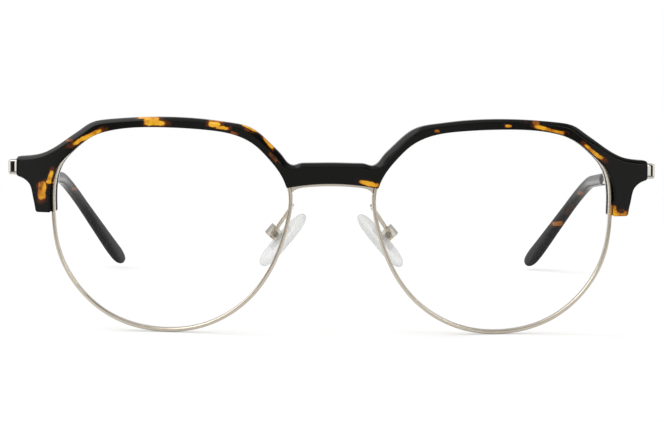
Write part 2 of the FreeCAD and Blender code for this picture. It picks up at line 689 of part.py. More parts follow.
LEAN = math.radians(PAD_FRAME_ANGLE)
SPLAY = math.radians(PAD_SPLAY)
PAD_LONG = V(-math.sin(LEAN), 0, math.cos(LEAN))
PAD_INWARD = V(-math.cos(LEAN), 0, -math.sin(LEAN))
PAD_FACE = PAD_INWARD * math.cos(SPLAY) + BACK * math.sin(SPLAY)
PAD_BACK = BACK * math.cos(SPLAY) - PAD_INWARD * math.sin(SPLAY)
PAD_MIDDLE = V(PAD_X, PAD_Y, LENS_Z - PAD_Z)
PIVOT = PAD_MIDDLE - PAD_FACE * PIVOT_OFFSET

# The pad's outline as fractions of its half length and half width, narrower at the top
PAD_SHAPE = (
    (1.0, 0.05), (0.75, 0.62), (0.2, 0.96), (-0.35, 0.98), (-0.82, 0.62),
    (-1.0, 0.0), (-0.82, -0.66), (-0.35, -1.0), (0.2, -0.9), (0.75, -0.5),
)


def pad_point(along, towards, back):
    """A place near the pad, from its middle: along it, towards the nose and towards the back."""
    return PAD_MIDDLE + PAD_LONG * along + PAD_FACE * towards + PAD_BACK * back


def pad_block(low, high):
    """A block in the pad's own directions, between two corners from the pad's middle."""
    outline = [
        pad_point(low[0], low[1], low[2]),
        pad_point(high[0], low[1], low[2]),
        pad_point(high[0], low[1], high[2]),
        pad_point(low[0], low[1], high[2]),
        pad_point(low[0], low[1], low[2]),
    ]
    return Part.Face(Part.makePolygon(outline)).extrude(PAD_FACE * (high[1] - low[1]))


def pad_ring(level, inset):
    """The pad's outline at a level towards the nose, drawn in by an inset."""
    length = PAD_LENGTH / 2 - inset
    width = PAD_WIDTH / 2 - inset
    points = [pad_point(u * length, level, w * width) for u, w in PAD_SHAPE]
    curve = Part.BSplineCurve()
    curve.interpolate(Points=points, PeriodicFlag=True)
    return Part.Wire([curve.toShape()])


def make_nose_pad():
    """Soft pad with a quarter-round edge on both sides and a pocket for its insert."""
    rings = []
    for side in (-1, 1):
        for turn in PAD_EDGE_TURNS[::-side]:
            level = PAD_THICKNESS / 2 - PAD_ROUND * (1 - math.cos(math.radians(turn)))
            inset = PAD_ROUND * (1 - math.sin(math.radians(turn)))
            rings.append(pad_ring(side * level, inset))
    solid = Part.makeLoft(rings, True, False)
    low = (-INSERT_LENGTH / 2 - SEAT_GAP, -PAD_THICKNESS, -INSERT_WIDTH / 2 - SEAT_GAP)
    high = (INSERT_LENGTH / 2 + SEAT_GAP, insert_top() + SEAT_GAP, INSERT_WIDTH / 2 + SEAT_GAP)
    return solid.cut(pad_block(low, high))


def insert_top():
    """How far the insert reaches into the pad, towards the nose."""
    return -PAD_THICKNESS / 2 + INSERT_THICKNESS


def make_pad_insert():
    """Plate in the back of the pad, with the round-ended tab that turns on the pad screw."""
    plate = pad_block(
        (-INSERT_LENGTH / 2, -PAD_THICKNESS / 2, -INSERT_WIDTH / 2),
        (INSERT_LENGTH / 2, insert_top(), INSERT_WIDTH / 2),
    )
    tab = pad_block(
        (-TAB_RADIUS, -PIVOT_OFFSET, -TAB_THICKNESS / 2),
        (TAB_RADIUS, -PAD_THICKNESS / 2 + INSERT_THICKNESS / 2, TAB_THICKNESS / 2),
    )
    end = cylinder(PIVOT - PAD_BACK * TAB_THICKNESS / 2, PAD_BACK, TAB_RADIUS, TAB_THICKNESS)
    bore = cylinder(PIVOT - PAD_BACK * BOX_DEPTH, PAD_BACK, PAD_SCREW_RADIUS + RUN_GAP, BOX_DEPTH * 2)
    return plate.fuse([tab, end]).removeSplitter().cut(bore)


def box_rear():
    """Rear face of the pad box, from the pad's middle."""
    return -PIVOT_OFFSET - TAB_RADIUS - PLAY - BOX_BACK


def make_pad_box():
    """Clevis with two cheeks and a back wall; the pad's tab turns between the cheeks."""
    front = -PIVOT_OFFSET + BOX_FRONT
    block = pad_block(
        (-BOX_LENGTH / 2, box_rear(), -BOX_DEPTH / 2), (BOX_LENGTH / 2, front, BOX_DEPTH / 2)
    )
    room = TAB_THICKNESS / 2 + RUN_GAP * 2
    slot = pad_block(
        (-BOX_LENGTH, box_rear() + BOX_BACK, -room), (BOX_LENGTH, front + BOX_BACK, room)
    )
    bore = cylinder(PIVOT - PAD_BACK * BOX_DEPTH, PAD_BACK, PAD_SCREW_RADIUS + SEAT_GAP, BOX_DEPTH * 2)
    return block.cut([slot, bore])


def make_pad_screw():
    """Screw whose head shows on the front cheek of the pad box."""
    tip = PIVOT + PAD_BACK * BOX_DEPTH / 2
    length = BOX_DEPTH + SEAT_GAP
    return screw(tip, -PAD_BACK, PAD_SCREW_RADIUS, length, PAD_HEAD_RADIUS, PAD_HEAD_HEIGHT, PAD_LONG)


def arm_root():
    """Where the pad arm is brazed to the back of the eyewire."""
    z = LENS_Z + ARM_RISE
    x = LENS_SPACING / 2 - RIM_WIDTH / 2
    return V(x, surface_y(x, z, RIM_BACK) + SEAT_GAP * 2, z)


def make_pad_arm():
    """Wire that runs straight back from the eyewire and bends down to the end of the pad box."""
    root = arm_root()
    box_end = pad_point(BOX_LENGTH / 2 + SEAT_GAP, (box_rear() - PIVOT_OFFSET + BOX_FRONT) / 2, 0)
    turn = V(root.x - ARM_RADIUS, root.y + ARM_BACK, root.z)
    bend = rounded(root, turn, box_end, ARM_BEND)
    first = cylinder(root, bend[0] - root, ARM_RADIUS, (bend[0] - root).Length)
    last = cylinder(bend[2], box_end - bend[2], ARM_RADIUS, (box_end - bend[2]).Length)
    path = Part.Wire([arc(*bend)])
    ring = Part.Wire([Part.Circle(bend[0], bend[0] - root, ARM_RADIUS).toShape()])
    elbow = path.makePipeShell([ring], True, False)
    return first.fuse([elbow, last]).removeSplitter()


def make_pieces():
    """Every piece by name: the one-off pieces, then each pair as left and right."""
    low_block = LOCK_Z - LOCK_SPLIT / 2 - LOCK_HEIGHT
    high_block = LOCK_Z + LOCK_SPLIT / 2
    pairs = {
        "eyewire": make_eyewire(),
        "lens": make_lens(),
        "rim_lock_upper": make_lock_block(high_block),
        "rim_lock_lower": make_lock_block(low_block),
        "rim_lock_screw": make_lock_screw(),
        "end_piece": make_end_piece(),
        "brow_screw": make_brow_screw(),
        "hinge_fork": make_hinge_fork(),
        "hinge_tongue": make_hinge_tongue(),
        "hinge_screw": make_hinge_screw(),
        "temple": make_temple(),
        "temple_tip": make_temple_tip(),
        "pad_arm": make_pad_arm(),
        "pad_box": make_pad_box(),
        "pad_screw": make_pad_screw(),
        "pad_insert": make_pad_insert(),
        "nose_pad": make_nose_pad(),
    }
    pieces = {"brow": make_brow(), "bridge_bar": make_bridge_bar()}
    for name, shape in pairs.items():
        pieces[name + "_left"] = shape
        pieces[name + "_right"] = mirrored(shape)
    return pieces


def main():
    pieces = make_pieces()
    box = Part.makeCompound(list(pieces.values())).optimalBoundingBox(False, False)
    shift = V(0, -(box.YMin + box.YMax) / 2, -box.ZMin)
    os.makedirs("parts", exist_ok=True)
    for name, shape in pieces.items():
        shape.translate(shift)
        shape.exportStep("parts/" + name + ".step")
    print("hinge axis", V(HINGE_X, HINGE_Y, HINGE_Z) + shift)
    print("pad axis", PIVOT + shift, PAD_BACK)
    print("slope of the temples", math.degrees(TILT_ANGLE))


main()
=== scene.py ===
import math

import bmesh
import bpy
import numpy as np
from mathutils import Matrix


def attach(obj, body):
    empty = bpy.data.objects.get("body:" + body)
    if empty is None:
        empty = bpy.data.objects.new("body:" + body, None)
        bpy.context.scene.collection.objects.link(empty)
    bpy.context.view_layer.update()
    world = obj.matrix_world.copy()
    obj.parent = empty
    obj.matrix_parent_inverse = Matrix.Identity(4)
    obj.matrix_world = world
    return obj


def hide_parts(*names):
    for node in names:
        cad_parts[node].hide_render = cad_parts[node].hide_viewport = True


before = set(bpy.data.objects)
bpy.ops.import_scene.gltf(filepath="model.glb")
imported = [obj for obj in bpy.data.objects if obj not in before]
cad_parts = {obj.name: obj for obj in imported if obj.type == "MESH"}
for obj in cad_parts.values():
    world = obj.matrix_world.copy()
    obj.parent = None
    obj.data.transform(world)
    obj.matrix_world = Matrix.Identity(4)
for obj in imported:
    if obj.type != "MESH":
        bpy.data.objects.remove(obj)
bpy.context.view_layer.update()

# Sizes in millimetres and angles in degrees, in the front's own place: x = 0 is the plane of
# symmetry, y = 0 the foremost point of the front's sphere and z = 0 the table. PLACE carries them
# to the frame.
PLACE = np.array([0.0, -74.12386, 0.000479])
METRE = 0.001

# Front
FRONT_RADIUS = 250.0
LENS_X, LENS_Z = 34.75, 22.7
LENS_MIDDLE = np.array([LENS_X, LENS_Z])
LENS_HALF = np.array([25.25, 21.65])
RIM_WIDTH, RIM_FRONT, RIM_BACK = 1.05, 1.28, 3.28
RIM_GROOVE = 0.55
RIM_EASE = 0.1                # polished off the rim towards the lens
RIM_POWER = 3.2               # how square the rim's rounded section is
SLIT_Z, SLIT_WIDTH = 32.9, 0.05
LENS_FRONT, LENS_BACK = 1.53, 3.03
LENS_PLAY = 0.05              # left free at the bottom of the rim's groove
LENS_TONGUE = 0.3             # half the thickness of the lens edge in that groove
LENS_SHAPE = np.array([
    (1.0, 0.2), (0.998, 0.394), (0.949, 0.603), (0.828, 0.768), (0.68, 0.896), (0.506, 0.963),
    (0.1, 0.999), (-0.3, 0.978), (-0.538, 0.933), (-0.7, 0.845), (-0.831, 0.703),
    (-0.942, 0.534), (-1.0, 0.325), (-0.981, 0.1), (-0.882, -0.271), (-0.662, -0.665),
    (-0.267, -0.949), (0.107, -0.996), (0.472, -0.891), (0.776, -0.617), (0.963, -0.206),
])

# Brow
BROW_BAND, BROW_DEPTH, BROW_LIP = 2.2, 4.4, 1.25
BRIDGE_TOP, BRIDGE_UNDER = 37.1, 32.6
BRIDGE_ARCH, BRIDGE_REACH = 1.6, 12.5
LUG_END, LUG_TOP, LUG_UNDER, LUG_CORNER = 68.8, 37.6, 33.2, 0.7
LEG_OUTER, LEG_FOOT, LEG_CORNER = 64.5, 25.55, 0.6
BROW_SHAPE = np.array([
    (-0.877, 0.658), (-0.8, 0.75), (-0.706, 0.851), (-0.644, 0.901), (-0.583, 0.93),
    (-0.45, 0.958), (-0.28, 0.982), (-0.018, 1.0), (0.299, 0.992), (0.457, 0.978),
    (0.553, 0.966), (0.616, 0.951), (0.666, 0.924), (0.714, 0.885), (0.811, 0.807),
    (0.907, 0.73), (0.957, 0.696),
])
BRIDGE_DIP = np.array([(0.0, 0.0), (5.5, -0.08), (7.2, -0.25), (8.45, -0.6), (9.5, -0.15)])
LUG_SWEEP = np.array([(-5.0, 0.55), (-2.3, 0.12), (-0.7, 0.0)])
LUG_HOLLOW = np.array([(-0.7, 0.0), (-2.2, -0.75), (-3.05, -1.65)])
LEG_SWEEP = np.array([(0.8, 4.7), (0.5, 3.2), (0.0, 0.6)])
BRIDGE_SIDE_X = 9.5           # where the bridge ends and the band over the lens starts
SHOULDER = np.array([57.0, 41.95])   # where the band over the lens ends and the lug starts
SHOWN_RIM = 1.08              # how far the acetate stands back from the lens opening at the leg
SHOWN_FROM, SHOWN_TO = 30.5, 39.5    # heights between which the rim goes in behind the acetate
REAR_STEP = 0.14              # how far the wall behind the rim reaches past it there, as a share
GROOVE_PLAY = 0.03            # between the back of the rim and that wall
POLISH = 0.03                 # taken off the acetate all round and in front
REAR_FILLET = 0.3             # rounding of the brow's rear edge
FACE_RING = 0.12              # width of the first ring of each face, beside its bevel or rounding
BEVEL_TOP = 0.8               # width of the polished bevel over the bridge and over the lug
BEVEL_BAND, BEVEL_STEEP = 0.65, 0.85   # over the lens, and what a steep run adds to it
BEVEL_LUG_UPPER, BEVEL_LUG_END, BEVEL_LUG_LOWER = 0.6, 0.45, 0.35
BEVEL_LEG = 0.3               # under the lug, down the leg and round its foot
BEVEL_LENS = 0.22             # beside the lens
BEVEL_ARCH = 0.25             # under the bridge
BEVEL_POWER, BEVEL_ROUNDER = 1.15, 0.85   # a flat bevel, and what makes a narrow one round
BEVEL_WIDE, BEVEL_NARROW = 0.6, 0.3       # widths at which it is flat and round

# End piece and temple
HINGE_Z = 34.9
END_THICKNESS, END_HEIGHT, END_BEND, END_RUN = 1.4, 3.2, 2.6, 3.2
END_OUTER = 71.4
END_LEAD = 3.2                # length of the strap behind the lug
END_POWER = 6.0               # how square the strap's section is
END_TAPER = 0.88              # size of the section at either end of the strap
LUG_MIDDLE = 65.9
STRAP_GAP = 0.06              # between the back of the lug and the strap
BUTT_GAP = 0.2
BAR_LENGTH, BEND_START, BEND_RADIUS, TIP_LENGTH = 73.0, 96.3, 21.5, 23.8
EAR_DROP, EAR_TOE = 41.4, 32.7
BAR_END_HEIGHT = 2.6
BAR_EDGE = 0.14               # taken off the edges of the bar's ends
BAR_POWER = 7.0               # how square the bar's section is
CORE_SIZE, CORE_STOP = (1.1, 2.2), 7.0
SLEEVE_SIZE, TIP_HEIGHT, TIP_ROUND = (2.5, 3.1), 5.4, 1.1
SLEEVE_GAP = 0.03             # between the end of the bar and the sleeve
SLEEVE_POWER = 2.6            # how square the sleeve's section is
SLEEVE_LIP = 0.3              # rounding of the sleeve's mouth
BORE_DEPTH, BORE_PLAY = 2.0, 0.12    # how far the bore is drawn, and its play round the core
TIP_CAP, TIP_CLOSE = 4.2, 0.8        # length of the closing round, and its power
TIP_RISE = 0.2                # how far that round rises, as a share of half the height
TIP_THINNING, TIP_LEAN = 9.0, 0.8    # length of the thinned end, and how far it leans inwards

# Nose pad
PAD_LENGTH, PAD_WIDTH, PAD_THICKNESS = 14.6, 7.2, 2.2
PAD_LEAN, PAD_SPLAY = 41.0, 12.0
PAD_RING_POWER, PAD_LEVEL_POWER = 6, 2.6
PAD_MIDDLE = np.array([10.6, 9.6, 19.8])
PAD_SHAPE = np.array([
    (1.0, 0.05), (0.92, 0.45), (0.72, 0.78), (0.2, 0.97), (-0.35, 0.98), (-0.74, 0.82),
    (-0.93, 0.48), (-1.0, 0.0), (-0.93, -0.5), (-0.74, -0.84), (-0.35, -1.0), (0.2, -0.92),
    (0.72, -0.68), (0.92, -0.36),
])

SIDES = {"left": 1.0, "right": -1.0}
SHARP_ANGLE = 40.0            # edges that turn by more than this stay sharp

# Table
TABLE_RADII = np.array([0.02, 0.15, 0.3, 0.45])   # of its rings of points, in metres
TABLE_NEAR, TABLE_FAR = 130.0, 420.0   # distances between which its grey passes into white
TABLE_GREY = 0.6              # colour of its middle, which keeps the shadow
TABLE_DIMMED = 0.62           # share of the glow that is taken off there
TABLE_MIRROR = (-60.0, 260.0, 0.1, 1.0)   # y from and to, and how bright a mirror sees it there

# Lamps: name, place in metres, width, height, power. All of them face the middle of the part.
LAMPS = (
    ("softbox_above", (-0.65, 0.2, 0.85), 1.0, 1.0, 5.5),
    ("softbox_left", (-0.7, -1.0, 0.9), 0.6, 0.6, 3.0),
    ("softbox_right", (0.9, -0.9, 0.8), 0.6, 0.6, 3.0),
    ("strip_left", (-0.80, -0.91, 0.0), 0.3, 1.2, 1.1),
    ("strip_right", (0.95, -0.73, 0.0), 0.8, 1.2, 2.6),
)
ROOM_LIGHT = 0.72             # soft light from all round

# Camera
CAMERA_SENSOR, CAMERA_LENS, CAMERA_SHIFT = 36.0, 119.77, 0.0436
CAMERA_X, CAMERA_Z = -0.0065, 0.062  # in metres
CAMERA_AWAY = 470.0           # in front of the front's sphere
CAMERA_PITCH, CAMERA_ROLL = 4.275, 0.4
CAMERA_CLIP = (0.01, 50.0)


# Curves

def hermite(knots, points, slopes, at):
    """Cubic pieces: each runs from one point to the next and takes the given slopes there."""
    k = np.clip(np.searchsorted(knots, at, side="right") - 1, 0, len(knots) - 2)
    step = (knots[k + 1] - knots[k])[:, None]
    t = ((at - knots[k]) / (knots[k + 1] - knots[k]))[:, None]
    return (
        points[k] * (2 * t ** 3 - 3 * t ** 2 + 1)
        + slopes[k] * step * (t ** 3 - 2 * t ** 2 + t)
        + points[k + 1] * (3 * t ** 2 - 2 * t ** 3)
        + slopes[k + 1] * step * (t ** 3 - t ** 2)
    )


def closed(row):
    """A row of points with its first one again at its end."""
    return np.vstack([row, row[:1]])


def closed_curve(points, count):
    """Smooth closed curve through points, by chord length, with an unbroken second derivative."""
    n = len(points)
    ring = np.arange(n)
    after = np.linalg.norm(np.roll(points, -1, 0) - points, axis=1)
    before = np.roll(after, 1)
    rates = (np.roll(points, -1, 0) - points) / after[:, None]
    system = np.diag(2 * (after + before))
    system[ring, ring - 1] += after
    system[ring, (ring + 1) % n] += before
    wanted = 3 * (after[:, None] * np.roll(rates, 1, 0) + before[:, None] * rates)
    slopes = np.linalg.solve(system, wanted)
    knots = np.concatenate([[0], np.cumsum(after)])
    at = np.linspace(0, knots[-1], count, endpoint=False)
    return hermite(knots, closed(points), closed(slopes), at)


def open_curve(points, first, last, count):
    """Smooth open curve through points, as the closed one, with a given direction at either end."""
    n = len(points)
    inner = np.arange(1, n - 1)
    gap = np.linalg.norm(np.diff(points, axis=0), axis=1)
    rates = np.diff(points, axis=0) / gap[:, None]
    system = np.eye(n)
    system[inner, inner] = 2 * (gap[:-1] + gap[1:])
    system[inner, inner - 1] = gap[1:]
    system[inner, inner + 1] = gap[:-1]
    wanted = np.empty((n, 2))
    wanted[0] = np.asarray(first) / np.linalg.norm(first)
    wanted[-1] = np.asarray(last) / np.linalg.norm(last)
    wanted[1:-1] = 3 * (gap[1:, None] * rates[:-1] + gap[:-1, None] * rates[1:])
    slopes = np.linalg.solve(system, wanted)
    knots = np.concatenate([[0], np.cumsum(gap)])
    return hermite(knots, points, slopes, np.linspace(0, knots[-1], count))


def along(curve, at):
    """Points of a line of points at the given shares of its length."""
    steps = np.linalg.norm(np.diff(curve, axis=0), axis=1)
    length = np.concatenate([[0], np.cumsum(steps)])
    at = np.asarray(at) * length[-1]
    return np.stack([np.interp(at, length, column) for column in curve.T], -1)


def cells(count):
    """Middles of equal cells between 0 and 1, so that pieces of an outline share no end point."""
    return (np.arange(count) + 0.5) / count


def smooth_step(low, high, value):
    """0 at low and 1 at high, with a level start and end between them."""
    t = np.clip((value - low) / (high - low), 0, 1)
    return t * t * (3 - 2 * t)


def softened(values, passes):
    """A closed row of values: each pass takes half of every value and a quarter of each of its
    two neighbours."""
    for _ in range(passes):
        values = (np.roll(values, 1, 0) + 2 * values + np.roll(values, -1, 0)) / 4
    return values


def arc_points(centre, radius, start, end, count):
    """Points on a circle between two angles, in cells."""
    angle = np.radians(start + (end - start) * cells(count))
    return np.asarray(centre) + radius * np.stack([np.cos(angle), np.sin(angle)], -1)


def right_hand(curve):
    """Unit steps to the right of a closed outline, square to the run between both neighbours: out
    of one that runs counter-clockwise and into one that runs clockwise."""
    run = np.roll(curve, -1, 0) - np.roll(curve, 1, 0)
    return np.stack([run[:, 1], -run[:, 0]], -1) / np.linalg.norm(run, axis=1)[:, None]


def front_y(x, z, depth):
    """Place along Y of the sphere that lies a depth behind the front one."""
    return FRONT_RADIUS - np.sqrt((FRONT_RADIUS - depth) ** 2 - x ** 2 - (z - LENS_Z) ** 2)


def on_front(flat, depth):
    """Points given as x and z, set a depth behind the front sphere."""
    x, z = flat[..., 0], flat[..., 1]
    return np.stack([x, front_y(x, z, depth), z], -1)


def turned(axis, angle):
    """Matrix that turns by an angle about an axis through the origin."""
    x, y, z = np.asarray(axis) / np.linalg.norm(axis)
    cross = np.array([[0, -z, y], [z, 0, -x], [-y, x, 0]])
    return np.eye(3) + math.sin(angle) * cross + (1 - math.cos(angle)) * cross @ cross


def ring_section(half_width, half_height, power, count):
    """Rounded sections, one a row: |x / half width| ^ power + |y / half height| ^ power = 1."""
    turn = np.linspace(0, 2 * math.pi, count, endpoint=False)
    x = np.sign(np.cos(turn)) * np.abs(np.cos(turn)) ** (2 / power)
    y = np.sign(np.sin(turn)) * np.abs(np.sin(turn)) ** (2 / power)
    return x * np.asarray(half_width)[..., None], y * np.asarray(half_height)[..., None]


# Meshes

def grid_faces(rows, columns):
    """Quads between neighbouring rows of a grid whose columns run round."""
    i, j = np.meshgrid(np.arange(rows - 1), np.arange(columns), indexing="ij")
    here, after, beside = i * columns, (i + 1) * columns, (j + 1) % columns
    quads = np.stack([here + j, after + j, after + beside, here + beside], -1)
    return quads.reshape(-1, 4).tolist()


def capped_faces(rows, columns):
    """Quads of a tube of rows, and one face across each of its ends."""
    first = list(range(columns))
    last = list(range((rows - 1) * columns, rows * columns))
    return grid_faces(rows, columns) + [first[::-1], last]


def add_piece(name, points, faces, body, slot, node):
    """Puts points in the frame as one closed mesh that rides on a body and stands for a node."""
    mesh = bpy.data.meshes.new(name)
    mesh.from_pydata(((points.reshape(-1, 3) + PLACE) * METRE).tolist(), [], faces)
    shell = bmesh.new()
    shell.from_mesh(mesh)
    bmesh.ops.recalc_face_normals(shell, faces=shell.faces)
    shell.to_mesh(mesh)
    shell.free()
    mesh.shade_smooth()
    mesh.set_sharp_from_angle(angle=math.radians(SHARP_ANGLE))
    mesh.materials.append(FINISHES[slot])
    piece = bpy.data.objects.new(name, mesh)
    bpy.context.scene.collection.objects.link(piece)
    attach(piece, body)
    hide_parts(node)


def add_pair(name, points, body, slot, node):
    """The same capped tube on both sides, the right one as the mirror image of the left."""
    faces = capped_faces(*points.shape[:2])
    for side, sign in SIDES.items():
        at_side = points * np.array([sign, 1, 1])
        rider = body if body == "front" else body + "_" + side
        add_piece(name + "_" + side, at_side, faces, rider, slot, node + "_" + side)


# Finishes

class Wire:
    """A socket among nodes; sums and products of values add the Math nodes that work them out."""

    def __init__(self, finish, socket):
        self.finish = finish
        self.socket = socket

    def maths(self, operation, first, second):
        return self.finish.node("ShaderNodeMath", {"operation": operation}, {0: first, 1: second})

    def __add__(self, other):
        return self.maths("ADD", self, other)

    __radd__ = __add__

    def __mul__(self, other):
        return self.maths("MULTIPLY", self, other)

    __rmul__ = __mul__

    def __sub__(self, other):
        return self.maths("SUBTRACT", self, other)

    def __rsub__(self, other):
        return self.maths("SUBTRACT", other, self)

    def __or__(self, other):
        """The larger of two values."""
        return self.maths("MAXIMUM", self, other)


class Finish:
    """The nodes of one material, or of the world."""

    def __init__(self, owner):
        owner.use_nodes = True
        self.tree = owner.node_tree
        self.tree.nodes.clear()

    def node(self, kind, settings=None, sockets=None, out=0):
        """Makes a node: its settings first, then the values or links of its sockets."""
        made = self.tree.nodes.new(kind)
        for key, value in (settings or {}).items():
            if key == "stops":
                ramp = made.color_ramp.elements
                while len(ramp) < len(value):
                    ramp.new(1.0)
                for stop, (place, colour) in zip(ramp, value):
                    stop.position = place
                    stop.color = (*colour, 1.0)
            else:
                setattr(made, key, value)
        for key, value in (sockets or {}).items():
            if isinstance(value, Wire):
                self.tree.links.new(value.socket, made.inputs[key])
            else:
                made.inputs[key].default_value = value
        return Wire(self, made.outputs[out]) if made.outputs else None

    def vector(self, operation, first, out=0, **second):
        """A Vector Math node; the second input goes by b for a vector and by scale for a number."""
        names = {"b": 1, "scale": "Scale"}
        sockets = {0: first} | {names[key]: value for key, value in second.items()}
        return self.node("ShaderNodeVectorMath", {"operation": operation}, sockets, out)

    def millimetres(self):
        """Object coordinates in millimetres."""
        place = self.node("ShaderNodeTexCoord", out="Object")
        return self.vector("SCALE", place, scale=1000.0)

    def part(self, vector, axis):
        """One of the three numbers of a vector."""
        return self.node("ShaderNodeSeparateXYZ", None, {0: vector}, axis)

    def noise(self, vector, scale, detail=3.0, rough=0.55, out=0):
        """Soft noise between 0 and 1 with a given number of lumps to the millimetre."""
        return self.node(
            "ShaderNodeTexNoise", None,
            {"Vector": vector, "Scale": scale, "Detail": detail, "Roughness": rough}, out
        )

    def spread(self, value, low, high, first=0.0, last=1.0):
        """Carries low..high over to first..last, with soft ends."""
        return self.node(
            "ShaderNodeMapRange", {"interpolation_type": "SMOOTHSTEP"},
            {"Value": value, "From Min": low, "From Max": high, "To Min": first, "To Max": last}
        )

    def ramp(self, value, stops):
        """Colour that passes through the given stops, each a place and a colour."""
        return self.node("ShaderNodeValToRGB", {"stops": stops}, {"Fac": value})

    def bump(self, height, strength, distance):
        """Normal of a surface with small heights on it."""
        return self.node(
            "ShaderNodeBump", None, {"Height": height, "Strength": strength, "Distance": distance}
        )

    def surface(self, **sockets):
        """Ends in a Principled shader; underscores in the names stand for spaces."""
        named = {key.replace("_", " "): value for key, value in sockets.items()}
        self.output(self.node("ShaderNodeBsdfPrincipled", None, named))

    def output(self, shader, kind="ShaderNodeOutputMaterial"):
        """Ends in the given shader."""
        self.node(kind, None, {"Surface": shader})


def new_finish(name):
    """An empty material, and the nodes to be made in it."""
    material = bpy.data.materials.new(name)
    return material, Finish(material)


def flecks(finish, vector, places):
    """Largest of several blocky spots, each strong up to its edge with a weak halo round it. With
    u and v as shares of the half sizes, the edge lies where the root of u ^ 4 + v ^ 4 is 1.
    A place is x, z, half length, half height, lean of the long way, strength."""
    through = 1000.0          # half size from front to back, past the whole part
    halo_share = 0.42
    total = None
    for x, z, half_length, half_height, lean, strength in places:
        own = finish.node("ShaderNodeMapping", {"vector_type": "TEXTURE"}, {
            "Vector": vector,
            "Location": (x, 0, z + PLACE[2]),
            "Rotation": (0, -math.radians(lean), 0),
            "Scale": (half_length, through, half_height),
        })
        squares = finish.vector("MULTIPLY", own, b=own)
        reach = finish.vector("LENGTH", squares, "Value")
        core = finish.spread(reach, 0.4, 1.3, strength, 0.0)
        halo = finish.spread(reach, 0.8, 3.4, halo_share * strength, 0.0)
        spot = core | halo
        total = spot if total is None else total | spot
    return total


def warped(finish, vector, scale, amount):
    """Coordinates pushed about by noise, which frays the edges of a pattern."""
    push = finish.noise(vector, scale, rough=0.6, out="Color")
    centred = finish.vector("SUBTRACT", push, b=(0.5, 0.5, 0.5))
    return finish.vector("ADD", vector, b=finish.vector("SCALE", centred, scale=amount))


# Amber flecks of the brow: x, z, half length, half height, lean of the long way, strength
BROW_FLECKS = (
    (-53.0, 42.05, 3.9, 0.55, 27.0, 0.92),
    (-56.8, 41.3, 1.1, 0.4, -2.0, 0.55),
    (-39.9, 46.5, 2.4, 0.5, 0.0, 0.95),
    (-38.3, 45.2, 2.5, 0.55, -1.0, 1.0),
    (-38.9, 45.9, 1.9, 0.6, 1.0, 1.0),
    (-24.9, 46.0, 2.1, 0.45, -3.0, 0.62),
    (-25.3, 45.1, 1.5, 0.6, -4.0, 1.0),
    (-23.7, 44.5, 1.6, 0.4, -5.0, 0.9),
    (-21.0, 43.3, 1.1, 0.35, -13.0, 0.5),
    (-17.7, 44.5, 2.4, 0.4, -23.0, 1.0),
    (-17.9, 43.9, 1.3, 0.4, -22.0, 0.5),
    (-13.8, 41.3, 1.8, 0.45, -49.0, 0.8),
    (-12.7, 38.2, 1.5, 0.4, -52.0, 0.6),
    (-62.9, 30.3, 2.3, 1.05, 90.0, 0.9),
    (-61.9, 32.7, 0.8, 0.3, -3.0, 0.5),
    (-61.1, 33.2, 1.7, 0.5, 77.0, 0.9),
    (-61.4, 32.1, 0.7, 0.35, -2.0, 0.9),
    (7.7, 32.8, 2.4, 0.5, -12.0, 0.84),
    (22.2, 44.0, 0.6, 0.35, -4.0, 0.55),
    (37.7, 45.2, 0.9, 0.35, -2.0, 0.8),
    (43.7, 45.9, 1.0, 0.55, -10.0, 0.55),
    (46.7, 44.4, 4.0, 0.45, -14.0, 0.88),
    (56.4, 39.6, 2.9, 0.45, -38.0, 0.87),
    (62.3, 26.2, 2.3, 1.0, 0.0, 0.88),
    (61.2, 27.0, 1.3, 0.5, 80.0, 0.82),
)
# Dark spots inside the flecks of the legs, written the same way
BROW_SPOTS = (
    (-63.2, 31.3, 1.0, 0.5, 70.0, 0.37),
    (62.6, 26.7, 0.9, 0.35, -4.0, 0.55),
)
# Brown spots of the temple tips, written the same way
TIP_FLECKS = (
    (68.7, 22.8, 0.8, 0.6, 0.0, 0.75),
    (63.7, 13.8, 1.5, 0.7, 10.0, 1.0),
    (66.4, 18.0, 2.2, 0.6, 60.0, 0.4),
    (-68.0, 23.0, 0.8, 0.5, 0.0, 0.7),
)
# Colours from the black of the brow to its amber, and from the black of the tips to their brown
ACETATE_STOPS = (
    (0.0, (0.0042, 0.0040, 0.0034)),
    (0.20, (0.009, 0.0055, 0.0035)),
    (0.42, (0.12, 0.028, 0.003)),
    (0.62, (0.50, 0.17, 0.008)),
    (0.82, (0.82, 0.40, 0.02)),
    (1.0, (0.90, 0.51, 0.04)),
)
TIP_STOPS = (
    (0.0, (0.006, 0.006, 0.0055)),
    (0.25, (0.010, 0.008, 0.006)),
    (0.55, (0.09, 0.032, 0.010)),
    (0.95, (0.34, 0.125, 0.030)),
)
ACETATE_IOR = 1.49


def tortoise_acetate():
    """Polished black acetate with amber flecks that run out through brown, and faint tumbling
    marks."""
    material, f = new_finish("tortoise_acetate")
    place = f.millimetres()
    frayed = warped(f, warped(f, place, scale=0.4, amount=0.9), scale=1.8, amount=0.2)
    spots = flecks(f, frayed, BROW_FLECKS) * (1.0 - flecks(f, frayed, BROW_SPOTS))
    cloud = f.spread(f.noise(place, scale=0.3, detail=4.0), 0.66, 0.82, 0.0, 0.3)
    mottle = f.noise(place, scale=0.4, detail=4.0, rough=0.5)
    amber = (spots | cloud) - 0.34 * f.spread(mottle, 0.4, 0.75)
    marks = f.noise(place, scale=2.2, detail=4.0)
    f.surface(
        Base_Color=f.ramp(amber, ACETATE_STOPS),
        Roughness=f.spread(marks, 0.3, 0.8, 0.10, 0.16),
        Normal=f.bump(marks, strength=0.05, distance=0.0001),
        IOR=ACETATE_IOR,
        Specular_IOR_Level=0.2,
    )
    return material


